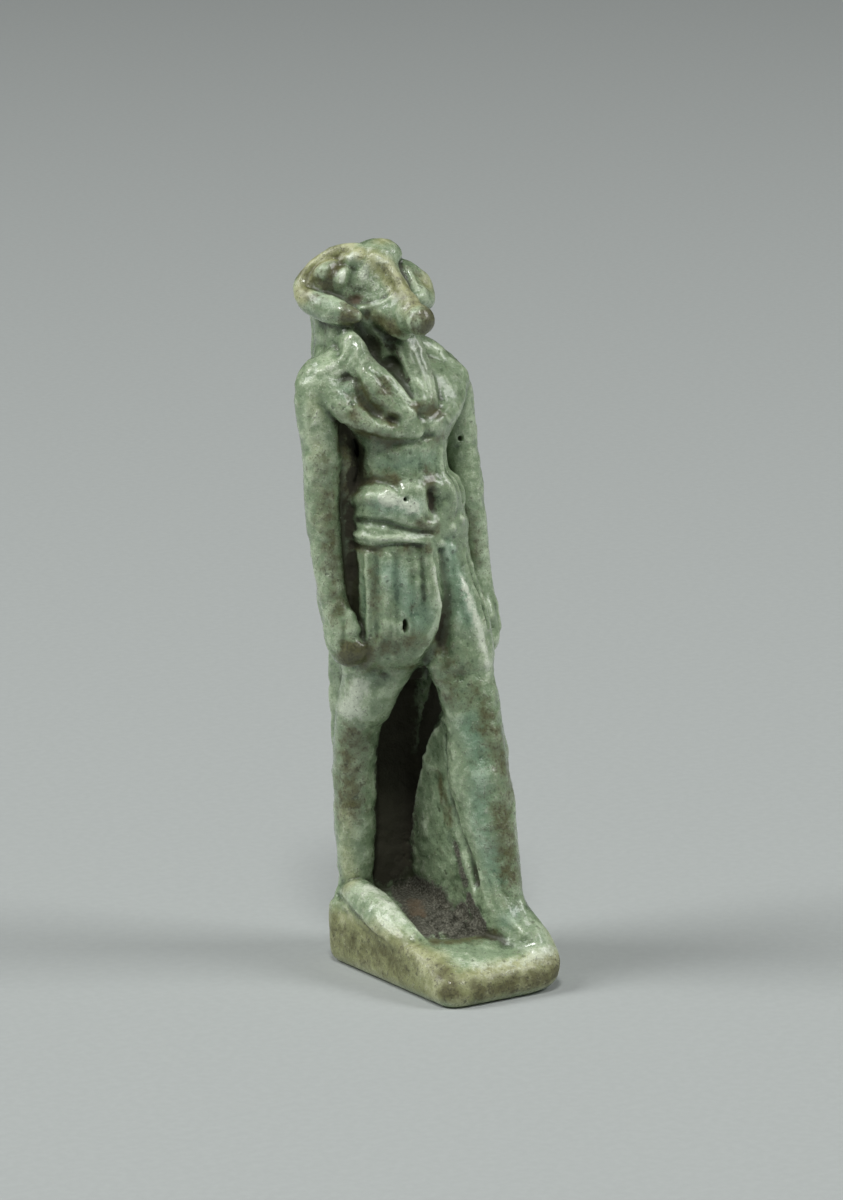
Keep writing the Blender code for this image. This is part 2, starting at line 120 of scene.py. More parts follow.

# Where the skin is stained, and where shade and highlights are painted on it: each mark is its strength and
# then its course, in figure millimetres, as one or more places (x, y, z, radius)
STAINS_AND_PAINTED_LIGHT = {
    # Brown: real brown stains, and painted shade under the chest's fold, under the lappets' ends, over the
    # chest and along the line in front of the dirt.
    "brown": [
        (1.5, (-2.5, 1.9, 34.3, 0.7)), (0.6, (-1.8, 2.4, 35.1, 0.5)), (1.8, (0.3, -1.2, 34.0, 1.0)),
        (0.8, (0.0, 0.6, 35.4, 0.5), (0.1, -0.3, 34.7, 0.6)),
        (1.2, (-2.2, 3.2, 36.9, 0.4), (-2.9, 3.3, 35.9, 0.5)),
        (0.6, (-1.7, 4.0, 37.5, 0.6), (-3.2, 5.0, 36.4, 0.7)),
        (0.8, (-3.2, 3.8, 36.2, 0.5), (-2.4, 3.3, 36.0, 0.5)), (0.6, (-1.8, 3.6, 37.1, 0.5)),
        (0.6, (-0.3, 1.8, 36.7, 0.4), (0.2, 0.2, 34.9, 0.6)),
        (0.5, (-3.9, 4.2, 35.5, 0.7), (-3.2, 3.2, 35.0, 0.5)),
        (0.8, (-1.2, 2.0, 34.2, 0.6), (-0.4, 0.6, 33.6, 0.6)), (0.6, (1.6, 2.4, 35.9, 0.8)),
        (0.8, (-2.9, 0.8, 31.0, 0.4), (-1.9, -0.2, 29.2, 0.6)),
        (0.9, (-0.3, -0.7, 29.6, 0.5), (1.2, -0.7, 29.4, 0.6)),
        (0.9, (-3.4, 0.6, 28.6, 0.7), (-1.6, -0.5, 27.9, 0.6)),
        (1.0, (-3.2, 2.0, 28.5, 0.9), (-2.9, 1.8, 25.6, 1.1)),
        (1.0, (-2.9, 1.6, 26.0, 0.6), (-1.6, -0.3, 26.0, 0.4)),
        (0.9, (0.2, -0.7, 26.4, 0.4), (0.1, -1.0, 25.0, 0.5)),
        (0.7, (0.5, -0.3, 27.8, 0.5), (2.0, 0.2, 28.0, 0.5)),
        (0.6, (-4.7, 1.5, 27.0, 0.9), (-4.6, 1.5, 23.5, 0.9), (-4.5, 1.4, 19.5, 0.9)),
        (2.0, (-4.4, 0.8, 17.4, 0.5), (-3.9, 0.9, 16.8, 1.1)),
        (0.8, (-3.1, 1.6, 22.6, 0.5), (-2.7, 0.0, 22.4, 0.4)),
        (0.7, (-1.8, -0.7, 22.4, 0.4), (-0.3, -1.0, 22.2, 0.4)),
        (0.8, (-0.9, -1.0, 23.7, 0.4), (0.3, -1.0, 23.2, 0.4)),
        (0.9, (-3.4, 1.6, 22.0, 0.5), (-3.4, 2.2, 18.0, 0.7)),
        (0.6, (-2.9, 0.4, 21.5, 0.3), (-3.0, 0.2, 19.0, 0.4)),
        (0.8, (-2.6, 0.2, 17.4, 0.8), (-1.2, -0.6, 17.6, 0.6)),
        (0.7, (-3.1, 1.4, 16.4, 0.7), (-1.0, 0.2, 16.2, 0.6)),
        (0.8, (0.2, -0.6, 17.6, 0.6), (0.9, -0.6, 16.0, 0.8), (0.7, -0.9, 14.4, 0.7)),
        (0.6, (3.6, 0.9, 23.0, 0.8), (3.8, 0.8, 21.0, 0.6)),
        (0.9, (-3.1, 3.0, 12.2, 1.0), (-3.1, 3.8, 8.5, 1.2)),
        (0.7, (1.5, -2.2, 14.6, 0.8), (2.9, -2.4, 9.6, 1.1)),
        (0.8, (2.2, -2.9, 8.6, 1.0), (2.2, -3.4, 5.0, 1.0)),
        (0.8, (0.8, 1.0, 9.8, 0.4), (0.9, 0.2, 7.6, 0.6)), (0.8, (-3.5, -4.9, 1.4, 1.0)),
        (0.8, (-3.0, 0.8, 29.6, 1.2)), (0.8, (-1.9, 0.1, 30.6, 0.8)), (1.1, (-3.6, -5.8, 0.4, 0.9)),
        (0.9, (-2.0, -6.3, 0.1, 0.8), (1.5, -6.3, 0.1, 0.8), (3.8, -5.8, 0.2, 1.0)),
        (0.9, (-1.0, 1.2, 32.8, 0.9)), (1.0, (-1.7, -0.4, 29.1, 0.5)),
        (1.0, (0.3, -0.3, 29.2, 0.5), (1.0, -0.4, 29.1, 0.5)),
        (0.9, (-2.3, -2.7, 2.2, 0.5), (0.4, -3.0, 2.1, 0.5), (1.4, -3.4, 2.1, 0.4)),
        (0.6, (-3.9, 4.5, 1.4, 1.3), (-3.9, -2.5, 1.2, 1.2)), (0.6, (-1.7, -0.6, 18.4, 0.4))],
    "dirt": [
        (1.6, (-1.9, -1.6, 2.4, 0.8), (-0.5, -2.0, 2.4, 0.9), (0.7, -2.2, 2.4, 0.8)),
        (1.7, (-1.2, 0.6, 2.7, 1.4), (0.0, 1.5, 3.0, 1.4), (0.3, 3.4, 3.3, 1.1)),
        (1.8, (-1.4, -0.6, 2.6, 1.0), (0.5, -0.6, 2.7, 0.9)),
        (0.8, (0.95, -0.2, 6.4, 0.5), (1.0, -0.9, 4.4, 0.6)),
        (1.2, (1.0, -1.2, 3.6, 0.5), (0.9, -1.8, 3.0, 0.6))],
    # Soil between the legs, and painted shade in the deepest gaps: in front of the pillar between the legs,
    # behind the left leg, between the right arm and the body, in the navel, down the kilt's deep fold and in
    # the throat.
    "soil_and_shade": [
        (1.6, (0.0, 4.2, 16.4, 2.1), (0.0, 4.4, 13.2, 2.0), (-0.1, 4.5, 9.0, 1.9), (-0.3, 4.7, 5.0, 1.5)),
        (1.4, (0.3, 1.8, 16.2, 1.3), (0.6, 2.6, 14.0, 1.3)),
        (1.4, (0.9, 1.2, 14.8, 1.5), (1.4, 3.0, 12.4, 0.9), (1.4, 4.2, 9.0, 0.8), (1.2, 4.8, 6.0, 0.6)),
        (1.2, (-3.1, 2.2, 29.2, 0.5), (-3.0, 1.9, 26.5, 0.6), (-3.2, 2.0, 21.0, 0.5)),
        (1.2, (0.3, -0.4, 25.1, 0.35), (0.3, -0.4, 24.3, 0.35)),
        (0.8, (0.6, -0.6, 18.6, 0.3), (0.3, -0.3, 17.2, 0.5), (0.1, 0.3, 16.0, 0.6)),
        (1.2, (-0.8, 1.2, 32.6, 0.8), (-0.4, 0.3, 31.0, 0.4))],
    "rust": [(1.15, (-1.7, 2.4, 35.15, 0.5)), (1.3, (-1.0, 0.6, 2.9, 0.7), (-0.2, 2.2, 3.4, 0.8))],
    "olive": [
        (1.4, (-1.2, 2.7, 37.4, 0.5)),
        (1.2, (-0.6, 2.3, 37.1, 0.7), (0.0, 0.8, 35.6, 0.8), (0.1, -0.4, 34.6, 0.8)),
        (1.1, (-1.4, 3.4, 37.5, 0.7), (-3.0, 4.6, 36.8, 0.9), (-3.9, 4.3, 35.5, 0.9)),
        (0.9, (0.3, 2.8, 37.7, 0.9)), (0.9, (-0.6, 1.0, 33.7, 0.8), (-0.8, 1.6, 34.2, 0.6)),
        (0.8, (2.2, 1.9, 35.4, 1.1)), (0.4, (-4.8, 1.9, 30.5, 0.9), (-4.8, 1.9, 24.0, 0.9)),
        (0.7, (-3.4, 3.8, 8.0, 1.0), (-3.4, 3.8, 4.4, 1.2)),
        (1.5, (-3.9, 5.5, 1.4, 1.9), (-3.9, -5.0, 1.0, 1.7)),
        (1.4, (-3.2, -6.0, 0.4, 1.2), (3.4, -6.0, 0.5, 1.1)),
        (0.9, (4.0, -4.6, 1.2, 1.2), (4.0, 4.0, 1.6, 1.6))],
    "turquoise": [
        (0.8, (-3.3, 3.6, 34.9, 0.9), (-2.9, 2.6, 34.6, 0.7)), (0.6, (-3.4, 1.2, 30.6, 1.0)),
        (0.7, (-2.2, 0.5, 30.2, 0.7)), (0.8, (0.3, 2.6, 37.6, 0.7)),
        (0.7, (-2.2, 0.0, 26.9, 0.8), (0.6, -0.8, 26.8, 0.9)),
        (0.9, (-2.6, 0.0, 24.7, 0.8), (-1.0, -1.0, 24.6, 0.8)),
        (0.9, (-2.3, -0.3, 21.4, 1.0), (-1.0, -0.9, 18.8, 1.3)),
        (0.9, (1.2, -1.0, 22.0, 1.0), (1.7, -1.3, 18.5, 1.0)),
        (0.6, (-3.0, 0.9, 21.0, 0.5), (-3.1, 1.0, 18.8, 0.5)),
        (1.0, (1.3, -1.6, 13.0, 0.9), (1.4, -2.2, 10.4, 0.9), (1.3, -2.3, 8.4, 0.9), (1.6, -3.0, 4.8, 0.8)),
        (1.3, (1.9, -3.6, 2.8, 0.9)), (0.7, (-2.4, 1.6, 15.6, 0.6)),
        (0.5, (3.9, 0.6, 24.0, 0.8), (4.2, 0.3, 19.0, 0.8))],
    # Pale: real pale and chalky patches, and painted highlights along ridges and rims: the belt, the chest's
    # fold, the belly's ledge, the navel's rim, the kilt's front edge, the left thigh, the left instep and the
    # base's front edge.
    "pale": [
        (1.3, (-1.2, 2.2, 36.4, 0.9), (-0.9, 1.6, 35.5, 0.9)), (1.0, (-2.9, 3.9, 36.4, 0.4)),
        (1.4, (-2.2, 2.6, 36.2, 0.5)), (0.9, (-1.5, 3.0, 37.2, 0.5)),
        (0.4, (0.0, 0.9, 35.7, 0.3), (0.2, 0.3, 35.0, 0.3)),
        (0.7, (-3.4, 2.8, 33.4, 0.8), (-3.4, 2.6, 32.2, 0.6)),
        (1.2, (-3.9, 2.0, 31.7, 0.5), (-3.3, 1.7, 31.5, 0.6)),
        (0.5, (0.9, 1.2, 32.4, 0.5), (0.9, -0.2, 30.4, 0.6)), (0.9, (-1.4, -0.5, 28.3, 0.4)),
        (0.9, (-2.5, 0.2, 25.3, 0.5)), (0.9, (-0.3, -1.0, 23.5, 0.3)),
        (0.5, (-2.8, 0.0, 23.1, 0.3), (-1.4, -0.8, 22.9, 0.3)),
        (1.1, (-3.0, 2.4, 4.3, 0.8), (-3.1, -0.4, 3.2, 0.7), (-2.9, -1.6, 2.6, 0.5)),
        (1.4, (-1.9, -4.9, 1.6, 0.7), (-0.9, -5.7, 1.25, 0.6), (1.2, -5.8, 1.25, 0.6), (3.0, -5.6, 1.1, 0.6)),
        (1.9, (-2.8, 2.2, 15.2, 0.8), (-3.1, 3.0, 13.6, 0.8)),
        (1.7, (-2.2, -0.5, 25.0, 0.6), (-1.0, -1.1, 24.6, 0.5)),
        (1.0, (-0.1, -1.2, 21.2, 0.22), (0.1, -1.2, 19.3, 0.22)),
        (0.6, (-4.9, 1.9, 31.0, 0.6), (-4.9, 1.8, 26.0, 0.5)), (1.0, (-4.5, 0.6, 18.9, 0.5)),
        (0.5, (-0.6, 0.9, 33.7, 0.6)), (0.7, (-3.1, 3.4, 7.5, 1.0)), (0.7, (1.2, 2.6, 7.0, 1.2)),
        (1.3, (1.7, -1.1, 20.4, 0.4), (2.2, -1.5, 17.9, 0.5), (2.6, -1.8, 15.6, 0.5)),
        (1.0, (1.5, -3.0, 4.4, 0.25), (1.6, -3.6, 3.3, 0.25))],
}

MM = (cad_box[1].z - cad_box[0].z) / AMULET_HEIGHT
LEFT, RIGHT = 1, -1


def rotation(angle, axis):
    """A turn as a numpy matrix."""
    return np.array(Matrix.Rotation(angle, 3, axis))


BASE_HEIGHT = (BASE_HEIGHT_REAR + BASE_HEIGHT_FRONT) / 2
SHIFT = np.array([0.0, BASE_DEPTH / 2 - GRID_REAR, BASE_HEIGHT - GRID_GROUND])
PIVOT = np.array([0.0, LEAN_CENTRE_Y, GRID_GROUND]) + SHIFT
LEAN = rotation(-np.arctan(LEAN_BACK), "X") @ rotation(-np.arctan(LEAN_TO_RIGHT), "Y")


def to_world(points):
    """Figure grid positions, leaned over the base, in the frame's millimetres."""
    return (np.atleast_2d(np.array(points, float)) + SHIFT - PIVOT) @ LEAN.T + PIVOT


def smooth_line(stations, steps=CURVE_STEPS):
    """More stations on a smooth curve through the given ones."""
    points = np.array(stations, float)
    padded = np.vstack([2 * points[0] - points[1], points, 2 * points[-1] - points[-2]])
    result = []
    for before, start, end, after in zip(padded, padded[1:], padded[2:], padded[3:]):
        for step in range(steps):
            t = step / steps
            result.append(0.5 * (2 * start + (end - before) * t
                                 + (2 * before - 5 * start + 4 * end - after) * t ** 2
                                 + (3 * start - before - 3 * end + after) * t ** 3))
    result.append(points[-1])
    return np.array(result)


def along(places, start, end):
    """How far along a length of a line some places lie, from 0 to 1, and their squared distance from it."""
    way = end - start
    offset = [place - start[i] for i, place in enumerate(places)]
    share = np.clip(sum(offset[i] * way[i] for i in range(3)) / max(float(way[:3] @ way[:3]), 1e-9), 0, 1)
    return share, sum((offset[i] - share * way[i]) ** 2 for i in range(3))


def turned(places, turns):
    """Places in the axes of a shape that is turned by degrees about X, Y and Z."""
    turn = np.eye(3)
    for angle, axis in zip(turns, "XYZ"):
        turn = rotation(np.radians(angle), axis) @ turn
    return [sum(places[i] * turn[i, column] for i in range(3)) for column in range(3)]


class Clay:
    """Distances to the amulet's skin on a grid of points, in millimetres, negative inside."""

    def __init__(self, low, high, grain):
        self.low = np.array(low, float)
        self.grain = grain
        counts = np.ceil((np.array(high) - self.low) / grain).astype(int) + 1
        self.axes = [(self.low[i] + grain * np.arange(counts[i])).astype(np.float32) for i in range(3)]
        self.distance = np.full(counts, FAR, np.float32)

    def window(self, corners, reach):
        """The part of the grid within reach of some world positions."""
        start = np.floor((corners.min(0) - reach - self.low) / self.grain).astype(int)
        stop = np.ceil((corners.max(0) + reach - self.low) / self.grain).astype(int) + 1
        return tuple(slice(max(a, 0), max(b, 0)) for a, b in zip(start, stop))

    def part(self, window, corners, reach):
        """The part of a window within reach of some world positions."""
        near = self.window(corners, reach)
        return tuple(slice(max(n.start - w.start, 0), max(n.stop - w.start, 0)) for n, w in zip(near, window))

    def world_places(self, window):
        """World coordinates in a window, as three arrays that fit together."""
        x, y, z = (axis[part] for axis, part in zip(self.axes, window))
        return x[:, None, None], y[None, :, None], z[None, None, :]

    def figure_places(self, window):
        """Figure coordinates in a window."""
        world = self.world_places(window)
        places = []
        for column in range(3):
            upright = sum((world[i] - PIVOT[i]) * LEAN[i, column] for i in range(3))
            places.append((upright + (PIVOT - SHIFT)[column]).astype(np.float32))
        return places

    def join(self, window, shape, blend):
        """Adds a shape's distances to the clay, with a soft seam."""
        old = self.distance[window]
        share = np.maximum(blend - np.abs(old - shape), 0) / blend
        self.distance[window] = np.minimum(old, shape) - share * share * blend / 4

    def cut(self, window, shape, blend):
        """Takes a shape away from the clay, with a soft edge."""
        old = self.distance[window]
        share = np.maximum(blend - np.abs(old + shape), 0) / blend
        self.distance[window] = np.maximum(old, -shape) + share * share * blend / 4

    def limb(self, stations, blend=0.3):
        """Adds a rounded limb through (x, y, z, radius)."""
        line = smooth_line(stations) if len(stations) > 2 else np.array(stations, float)
        reach = blend + SPARE
        window = self.window(to_world(line[:, :3]), line[:, 3].max() + reach)
        places = self.figure_places(window)
        shape = np.full(self.distance[window].shape, FAR, np.float32)
        for start, end in zip(line, line[1:]):
            part = self.part(window, to_world([start[:3], end[:3]]), max(start[3], end[3]) + reach)
            share, away = along([place[part] for place in places], start, end)
            shape[part] = np.minimum(shape[part], np.sqrt(away) - start[3] - share * (end - start)[3])
        self.join(window, shape, blend)

    def oval_shape(self, centre, radii, turns, reach):
        """The window and distances of an egg shape. turns are degrees about X, Y and Z."""
        window = self.window(to_world([centre]), max(radii) + reach)
        local = turned([a - c for a, c in zip(self.figure_places(window), centre)], turns)
        size = np.sqrt(sum((a / r) ** 2 for a, r in zip(local, radii)))
        slope = np.sqrt(sum((a / r ** 2) ** 2 for a, r in zip(local, radii)))
        return window, size * (size - 1) / np.maximum(slope, 1e-6)

    def oval(self, centre, radii, turns=(0, 0, 0), blend=0.3):
        """Adds an egg shape."""
        self.join(*self.oval_shape(centre, radii, turns, blend + SPARE), blend)

    def dent(self, centre, radii, turns=(0, 0, 0), blend=0.15):
        """Cuts an egg shape out."""
        self.cut(*self.oval_shape(centre, radii, turns, blend + SPARE), blend)

    def press(self, centre, radii, depth):
        """Pushes the skin in softly round a place, or out where depth is negative."""
        window = self.window(to_world([centre]), max(radii))
        place = [a - c for a, c in zip(self.figure_places(window), centre)]
        share = np.clip(1 - sum((a / r) ** 2 for a, r in zip(place, radii)), 0, 1)
        self.distance[window] += depth * share * share

    def settle(self, stations):
        """Stations drawn near the skin, moved onto it, in world positions."""
        line = smooth_line(stations)
        line[:, :3] = to_world(line[:, :3])
        for _ in range(SETTLE_STEPS):
            away = np.clip(self.sample(self.distance, line[:, :3]), -SETTLE_STRIDE, SETTLE_STRIDE)
            line[:, :3] -= away[:, None] * self.slope(line[:, :3])
        return line

    def stroke(self, stations, depth):
        """Draws a soft groove along the skin through (x, y, z, radius), or a ridge at a negative depth."""
        line = self.settle(stations)
        widest = line[:, 3].max()
        window = self.window(line[:, :3], widest)
        places = np.broadcast_arrays(*self.world_places(window))
        mark = np.zeros(self.distance[window].shape, np.float32)
        for start, end in zip(line, line[1:]):
            part = self.part(window, np.array([start[:3], end[:3]]), max(start[3], end[3]))
            share, away = along([place[part] for place in places], start, end)
            radius = start[3] + share * (end - start)[3]
            force = np.clip(1 - away / radius ** 2, 0, 1) ** 2 * (radius / widest)
            mark[part] = np.maximum(mark[part], force)
        self.distance[window] += depth * mark

    def stack(self, levels, power, blend=0.3):
        """Adds a body of oval slices, each (z, middle x, middle y, half width, half depth)."""
        levels = np.array(levels, float)
        fine = smooth_line(levels)
        corners = [[x + side * width, y + end * depth, z]
                   for z, x, y, width, depth in levels for side in (-1, 1) for end in (-1, 1)]
        window = self.window(to_world(corners), blend + SPARE)
        x, y, z = self.figure_places(window)
        middle_x, middle_y, half_width, half_depth = (np.interp(z, fine[:, 0], column)
                                                      for column in fine.T[1:])
        dx = np.abs(x - middle_x)
        dy = np.abs(y - middle_y)
        share = ((dx / half_width) ** power + (dy / half_depth) ** power) ** (1 / power)
        side = np.sqrt(dx ** 2 + dy ** 2) * (1 - 1 / np.maximum(share, 1e-3))
        ends = np.maximum(levels[0, 0] - z, z - levels[-1, 0])
        self.join(window, np.maximum(side, ends).astype(np.float32), blend)

    def block(self, low, high, radius, blend=0.3):
        """Adds a block with rounded edges between two figure corners."""
        low, high = np.array(low, float), np.array(high, float)
        window = self.window(to_world([[x, y, z] for x in (low[0], high[0]) for y in (low[1], high[1])
                                       for z in (low[2], high[2])]), blend + SPARE)
        over = [np.maximum(low[i] + radius - place, place - high[i] + radius)
                for i, place in enumerate(self.figure_places(window))]
        outside = np.sqrt(sum(np.maximum(a, 0) ** 2 for a in over))
        inside = np.minimum(np.maximum(np.maximum(over[0], over[1]), over[2]), 0)
        self.join(window, outside + inside - radius, blend)

    def roughen(self, size, amount, seed):
        """Makes the skin uneven by waves about as long as size, less near the foot of the base."""
        dice = np.random.default_rng(seed)
        weights = []
        for axis in self.axes:
            place = (axis - axis[0]) / size
            cell = place.astype(int)
            part = place - cell
            part = part * part * (3 - 2 * part)
            weight = np.zeros((len(axis), cell[-1] + 2), np.float32)
            weight[np.arange(len(axis)), cell] = 1 - part
            weight[np.arange(len(axis)), cell + 1] = part
            weights.append(weight)
        lattice = dice.uniform(-1, 1, [weight.shape[1] for weight in weights]).astype(np.float32)
        for weight in weights:
            lattice = np.tensordot(lattice, weight, axes=(0, 1))
        self.distance += amount * lattice * np.interp(self.axes[2], *WAVE_SHARES).astype(np.float32)

    def fullness(self, reach):
        """The share of solid round each grid point, within about reach."""
        field = (self.distance < 0).astype(np.float32)
        # Two passes over a box this wide feel about as far as reach
        steps = max(1, round(reach / self.grain / 1.5))
        for _ in range(2):
            for axis in range(3):
                padded = np.pad(field, [(steps + 1, steps) if i == axis else (0, 0) for i in range(3)])
                total = np.cumsum(padded, axis=axis, dtype=np.float32)
                length = field.shape[axis]
                upper = np.take(total, range(2 * steps + 1, 2 * steps + 1 + length), axis)
                lower = np.take(total, range(length), axis)
                field = (upper - lower) / (2 * steps + 1)
        return field

    def sample(self, field, points):
        """A field's values at world positions, read between the grid's points."""
        place = (points - self.low) / self.grain
        # Every place needs a grid point beyond it
        place = np.clip(place, 0, np.array(field.shape) - 1.001)
        corner = place.astype(int)
        part = place - corner
        total = 0
        for bits in range(8):
            offset = np.array([bits & 1, bits >> 1 & 1, bits >> 2 & 1])
            i, j, k = (corner + offset).T
            weight = np.prod(np.where(offset, part, 1 - part), axis=1)
            total = total + weight * field[i, j, k]
        return total

    def slope(self, points):
        """The outward direction of the skin at world positions."""
        result = np.empty_like(points)
        for axis in range(3):
            offset = np.zeros(3)
            offset[axis] = self.grain
            ahead, behind = (self.sample(self.distance, points + side * offset) for side in (1, -1))
            result[:, axis] = ahead - behind
        return result / np.maximum(np.linalg.norm(result, axis=1), 1e-9)[:, None]

    def skin(self):
        """Corner positions and four-sided faces of the skin."""
        d = self.distance
        inside = d < 0
        corners = [(i, j, k) for i in (0, 1) for j in (0, 1) for k in (0, 1)]
        counts = np.array(d.shape) - 1
        views = [inside[tuple(slice(a, a + n) for a, n in zip(corner, counts))] for corner in corners]
        mixed = np.logical_or.reduce(views) & ~np.logical_and.reduce(views)
        cells = np.argwhere(mixed)
        number = np.full(mixed.shape, -1, np.int32)
        number[mixed] = np.arange(len(cells))
        total = np.zeros((len(cells), 3))
        count = np.zeros(len(cells))
        for start in corners:
            for axis in range(3):
                if start[axis]:
                    continue
                end = list(start)
                end[axis] = 1
                a = d[tuple((cells + start).T)]
                b = d[tuple((cells + end).T)]
                crosses = (a < 0) != (b < 0)
                share = np.where(crosses, a / np.where(crosses, a - b, 1), 0)
                place = np.array(start) + share[:, None] * (np.array(end) - start)
                total[crosses] += place[crosses]
                count[crosses] += 1
        points = self.low + self.grain * (cells + total / count[:, None])
        faces = []
        for axis in range(3):
            u, v = (axis + 1) % 3, (axis + 2) % 3
            first = np.take(inside, range(d.shape[axis] - 1), axis)
            second = np.take(inside, range(1, d.shape[axis]), axis)
            edges = np.argwhere(first != second)
            leaving = first[tuple(edges.T)]
            ring = []
            for du, dv in ((-1, -1), (0, -1), (0, 0), (-1, 0)):
                cell = edges.copy()
                cell[:, u] += du
                cell[:, v] += dv
                ring.append(number[tuple(cell.T)])
            ring = np.stack(ring, 1)
            faces.append(np.where(leaving[:, None], ring, ring[:, ::-1]))
        return points, np.vstack(faces)


def add_base(clay):
    """The low block under the feet, rounded all over, with its front top edge and front corners worn."""
    corner = np.array([BASE_WIDTH / 2, BASE_DEPTH / 2, 4.0])
    window = clay.window(np.array([corner * (-1, -1, 0), corner]), 0.8)
    x, y, z = clay.world_places(window)
    over_x = np.abs(x) - BASE_WIDTH / 2 + BASE_CORNER
    over_y = np.abs(y) - BASE_DEPTH / 2 + BASE_CORNER
    plan = np.sqrt(np.maximum(over_x, 0) ** 2 + np.maximum(over_y, 0) ** 2)
    plan = plan + np.minimum(np.maximum(over_x, over_y), 0)
    slope = (BASE_HEIGHT_REAR - BASE_HEIGHT_FRONT) / BASE_DEPTH
    top = (z - BASE_HEIGHT - slope * y) / np.sqrt(1 + slope ** 2)
    shape = soft_max(plan - BASE_CORNER, top, TOP_EDGE)
    for way, distance, blend in WORN_PLACES:
        shape = soft_max(shape, x * way[0] + y * way[1] + z * way[2] - distance, blend)
    shape = soft_max(shape, -z - FOOT_DEPTH, FOOT_EDGE)
    clay.join(window, shape.astype(np.float32), 0.1)


def soft_max(a, b, blend):
    """The larger of two distances, with the edge between them rounded."""
    share = np.maximum(blend - np.abs(a - b), 0) / blend
    return np.maximum(a, b) + share * share * blend / 4


def add_pillar(clay):
    """The upright slab behind the figure, and the fill between it and the arms."""
    clay.block((-PILLAR_WIDTH / 2, GRID_REAR - PILLAR_DEPTH, GRID_GROUND - 2),
               (PILLAR_WIDTH / 2, GRID_REAR, PILLAR_TOP), 0.3)
    levels = []
    rear = GRID_REAR - PILLAR_DEPTH / 2
    for z, x, front, half_width in ((14.6, 0.0, 2.9, 2.5), (17.2, 0.0, 2.5, 3.2), (19.0, -0.1, 2.4, 3.9),
                                    (25.0, -0.1, 2.4, 4.0), (29.5, -0.2, 2.4, 4.1), (31.6, -0.2, 2.6, 3.4)):
        middle = (front + rear) / 2
        levels.append((z, x, middle, half_width, rear - middle))
    clay.stack(levels, 3.0)


def add_legs(clay):
    """The right leg against the pillar, the left one advanced, and the fill behind it."""
    clay.limb([(-1.8, 2.3, 17.5, 1.45), (-2.0, 3.0, 14.9, 1.28), (-2.1, 4.0, 12.3, 1.22),
               (-2.1, 4.4, 9.8, 1.15), (-2.12, 4.55, 7.1, 1.05), (-2.2, 4.6, 4.6, 0.98),
               (-2.3, 4.5, 3.2, 1.0)])
    clay.limb([(2.1, 0.6, 18.0, 1.65), (2.1, -0.35, 14.8, 1.5), (2.2, -0.85, 12.2, 1.5),
               (2.1, -1.15, 9.8, 1.6), (2.15, -1.75, 7.5, 1.42), (2.15, -2.2, 5.4, 1.2),
               (2.1, -2.6, 3.9, 1.12), (2.1, -2.75, 2.4, 1.15)])
    clay.limb([(-0.9, 0.5, 16.6, 0.7), (-1.5, 1.6, 15.0, 0.75), (-1.8, 2.6, 13.6, 0.8)], 0.5)
    clay.limb([(0.1, -0.2, 17.0, 0.6), (0.35, -0.2, 16.2, 0.6), (0.95, -0.6, 14.6, 0.62),
               (1.3, -0.7, 13.0, 0.6)], 0.5)
    front = [(4.3, 1.6), (4.3, 5.4), (3.75, 7.2), (3.1, 9.0), (2.4, 10.6), (1.5, 12.0), (0.1, 12.9),
             (-2.2, 1.6)]
    add_web(clay, 0.95, 2.6, front)
    rear = [(4.9, 1.6), (4.9, 17.0), (0.2, 17.0), (-2.2, 1.6)]
    add_web(clay, 1.75, 2.6, rear)


def add_web(clay, low_x, high_x, outline):
    """A flat plate between two x values, with a convex outline in y and z."""
    corners = [[x, y, z] for x in (low_x, high_x) for y, z in outline]
    window = clay.window(to_world(corners), 0.6)
    x, y, z = clay.figure_places(window)
    shape = np.maximum(low_x - x, x - high_x)
    middle = np.mean(outline, axis=0)
    for (y0, z0), (y1, z1) in zip(outline, outline[1:] + outline[:1]):
        normal = np.array([z1 - z0, y0 - y1]) / np.hypot(z1 - z0, y0 - y1)
        if normal @ (middle - np.array([y0, z0])) > 0:
            normal = -normal
        shape = np.maximum(shape, (y - y0) * normal[0] + (z - z0) * normal[1])
    clay.join(window, shape, 0.4)


def add_feet(clay):
    """The feet. The right one reaches the edge of the base, the left one spreads into the front corner."""
    clay.limb([(-2.4, 4.6, 3.4, 1.0), (-2.85, 3.0, 3.45, 1.02), (-3.0, 1.4, 3.05, 1.02),
               (-3.05, -0.1, 2.55, 0.95), (-3.0, -1.3, 2.05, 0.85), (-2.75, -2.0, 1.75, 0.7)], 0.15)
    clay.limb([(2.1, -2.0, 3.4, 1.05), (2.3, -3.0, 2.5, 1.15), (2.55, -4.0, 1.55, 1.25),
               (2.6, -4.6, 1.05, 1.05)], 0.6)


def add_dirt(clay):
    """The lump of dried earth between the feet, a heap of grains."""
    dice = np.random.default_rng(5)
    for _ in range(HEAP_GRAINS):
        y = HEAP_FRONT + HEAP_LENGTH * dice.uniform() ** 1.3
        x = dice.uniform(HEAP_RIGHT + HEAP_TAPER * max(y, 0), HEAP_LEFT)
        z = HEAP_FLOOR + HEAP_SLOPE * y + HEAP_DEPTH * dice.uniform() ** 2
        size = dice.uniform(*HEAP_GRAIN_SIZES)
        clay.oval((x, y, z), (size, size * 1.1, size * 0.9), blend=0.1)


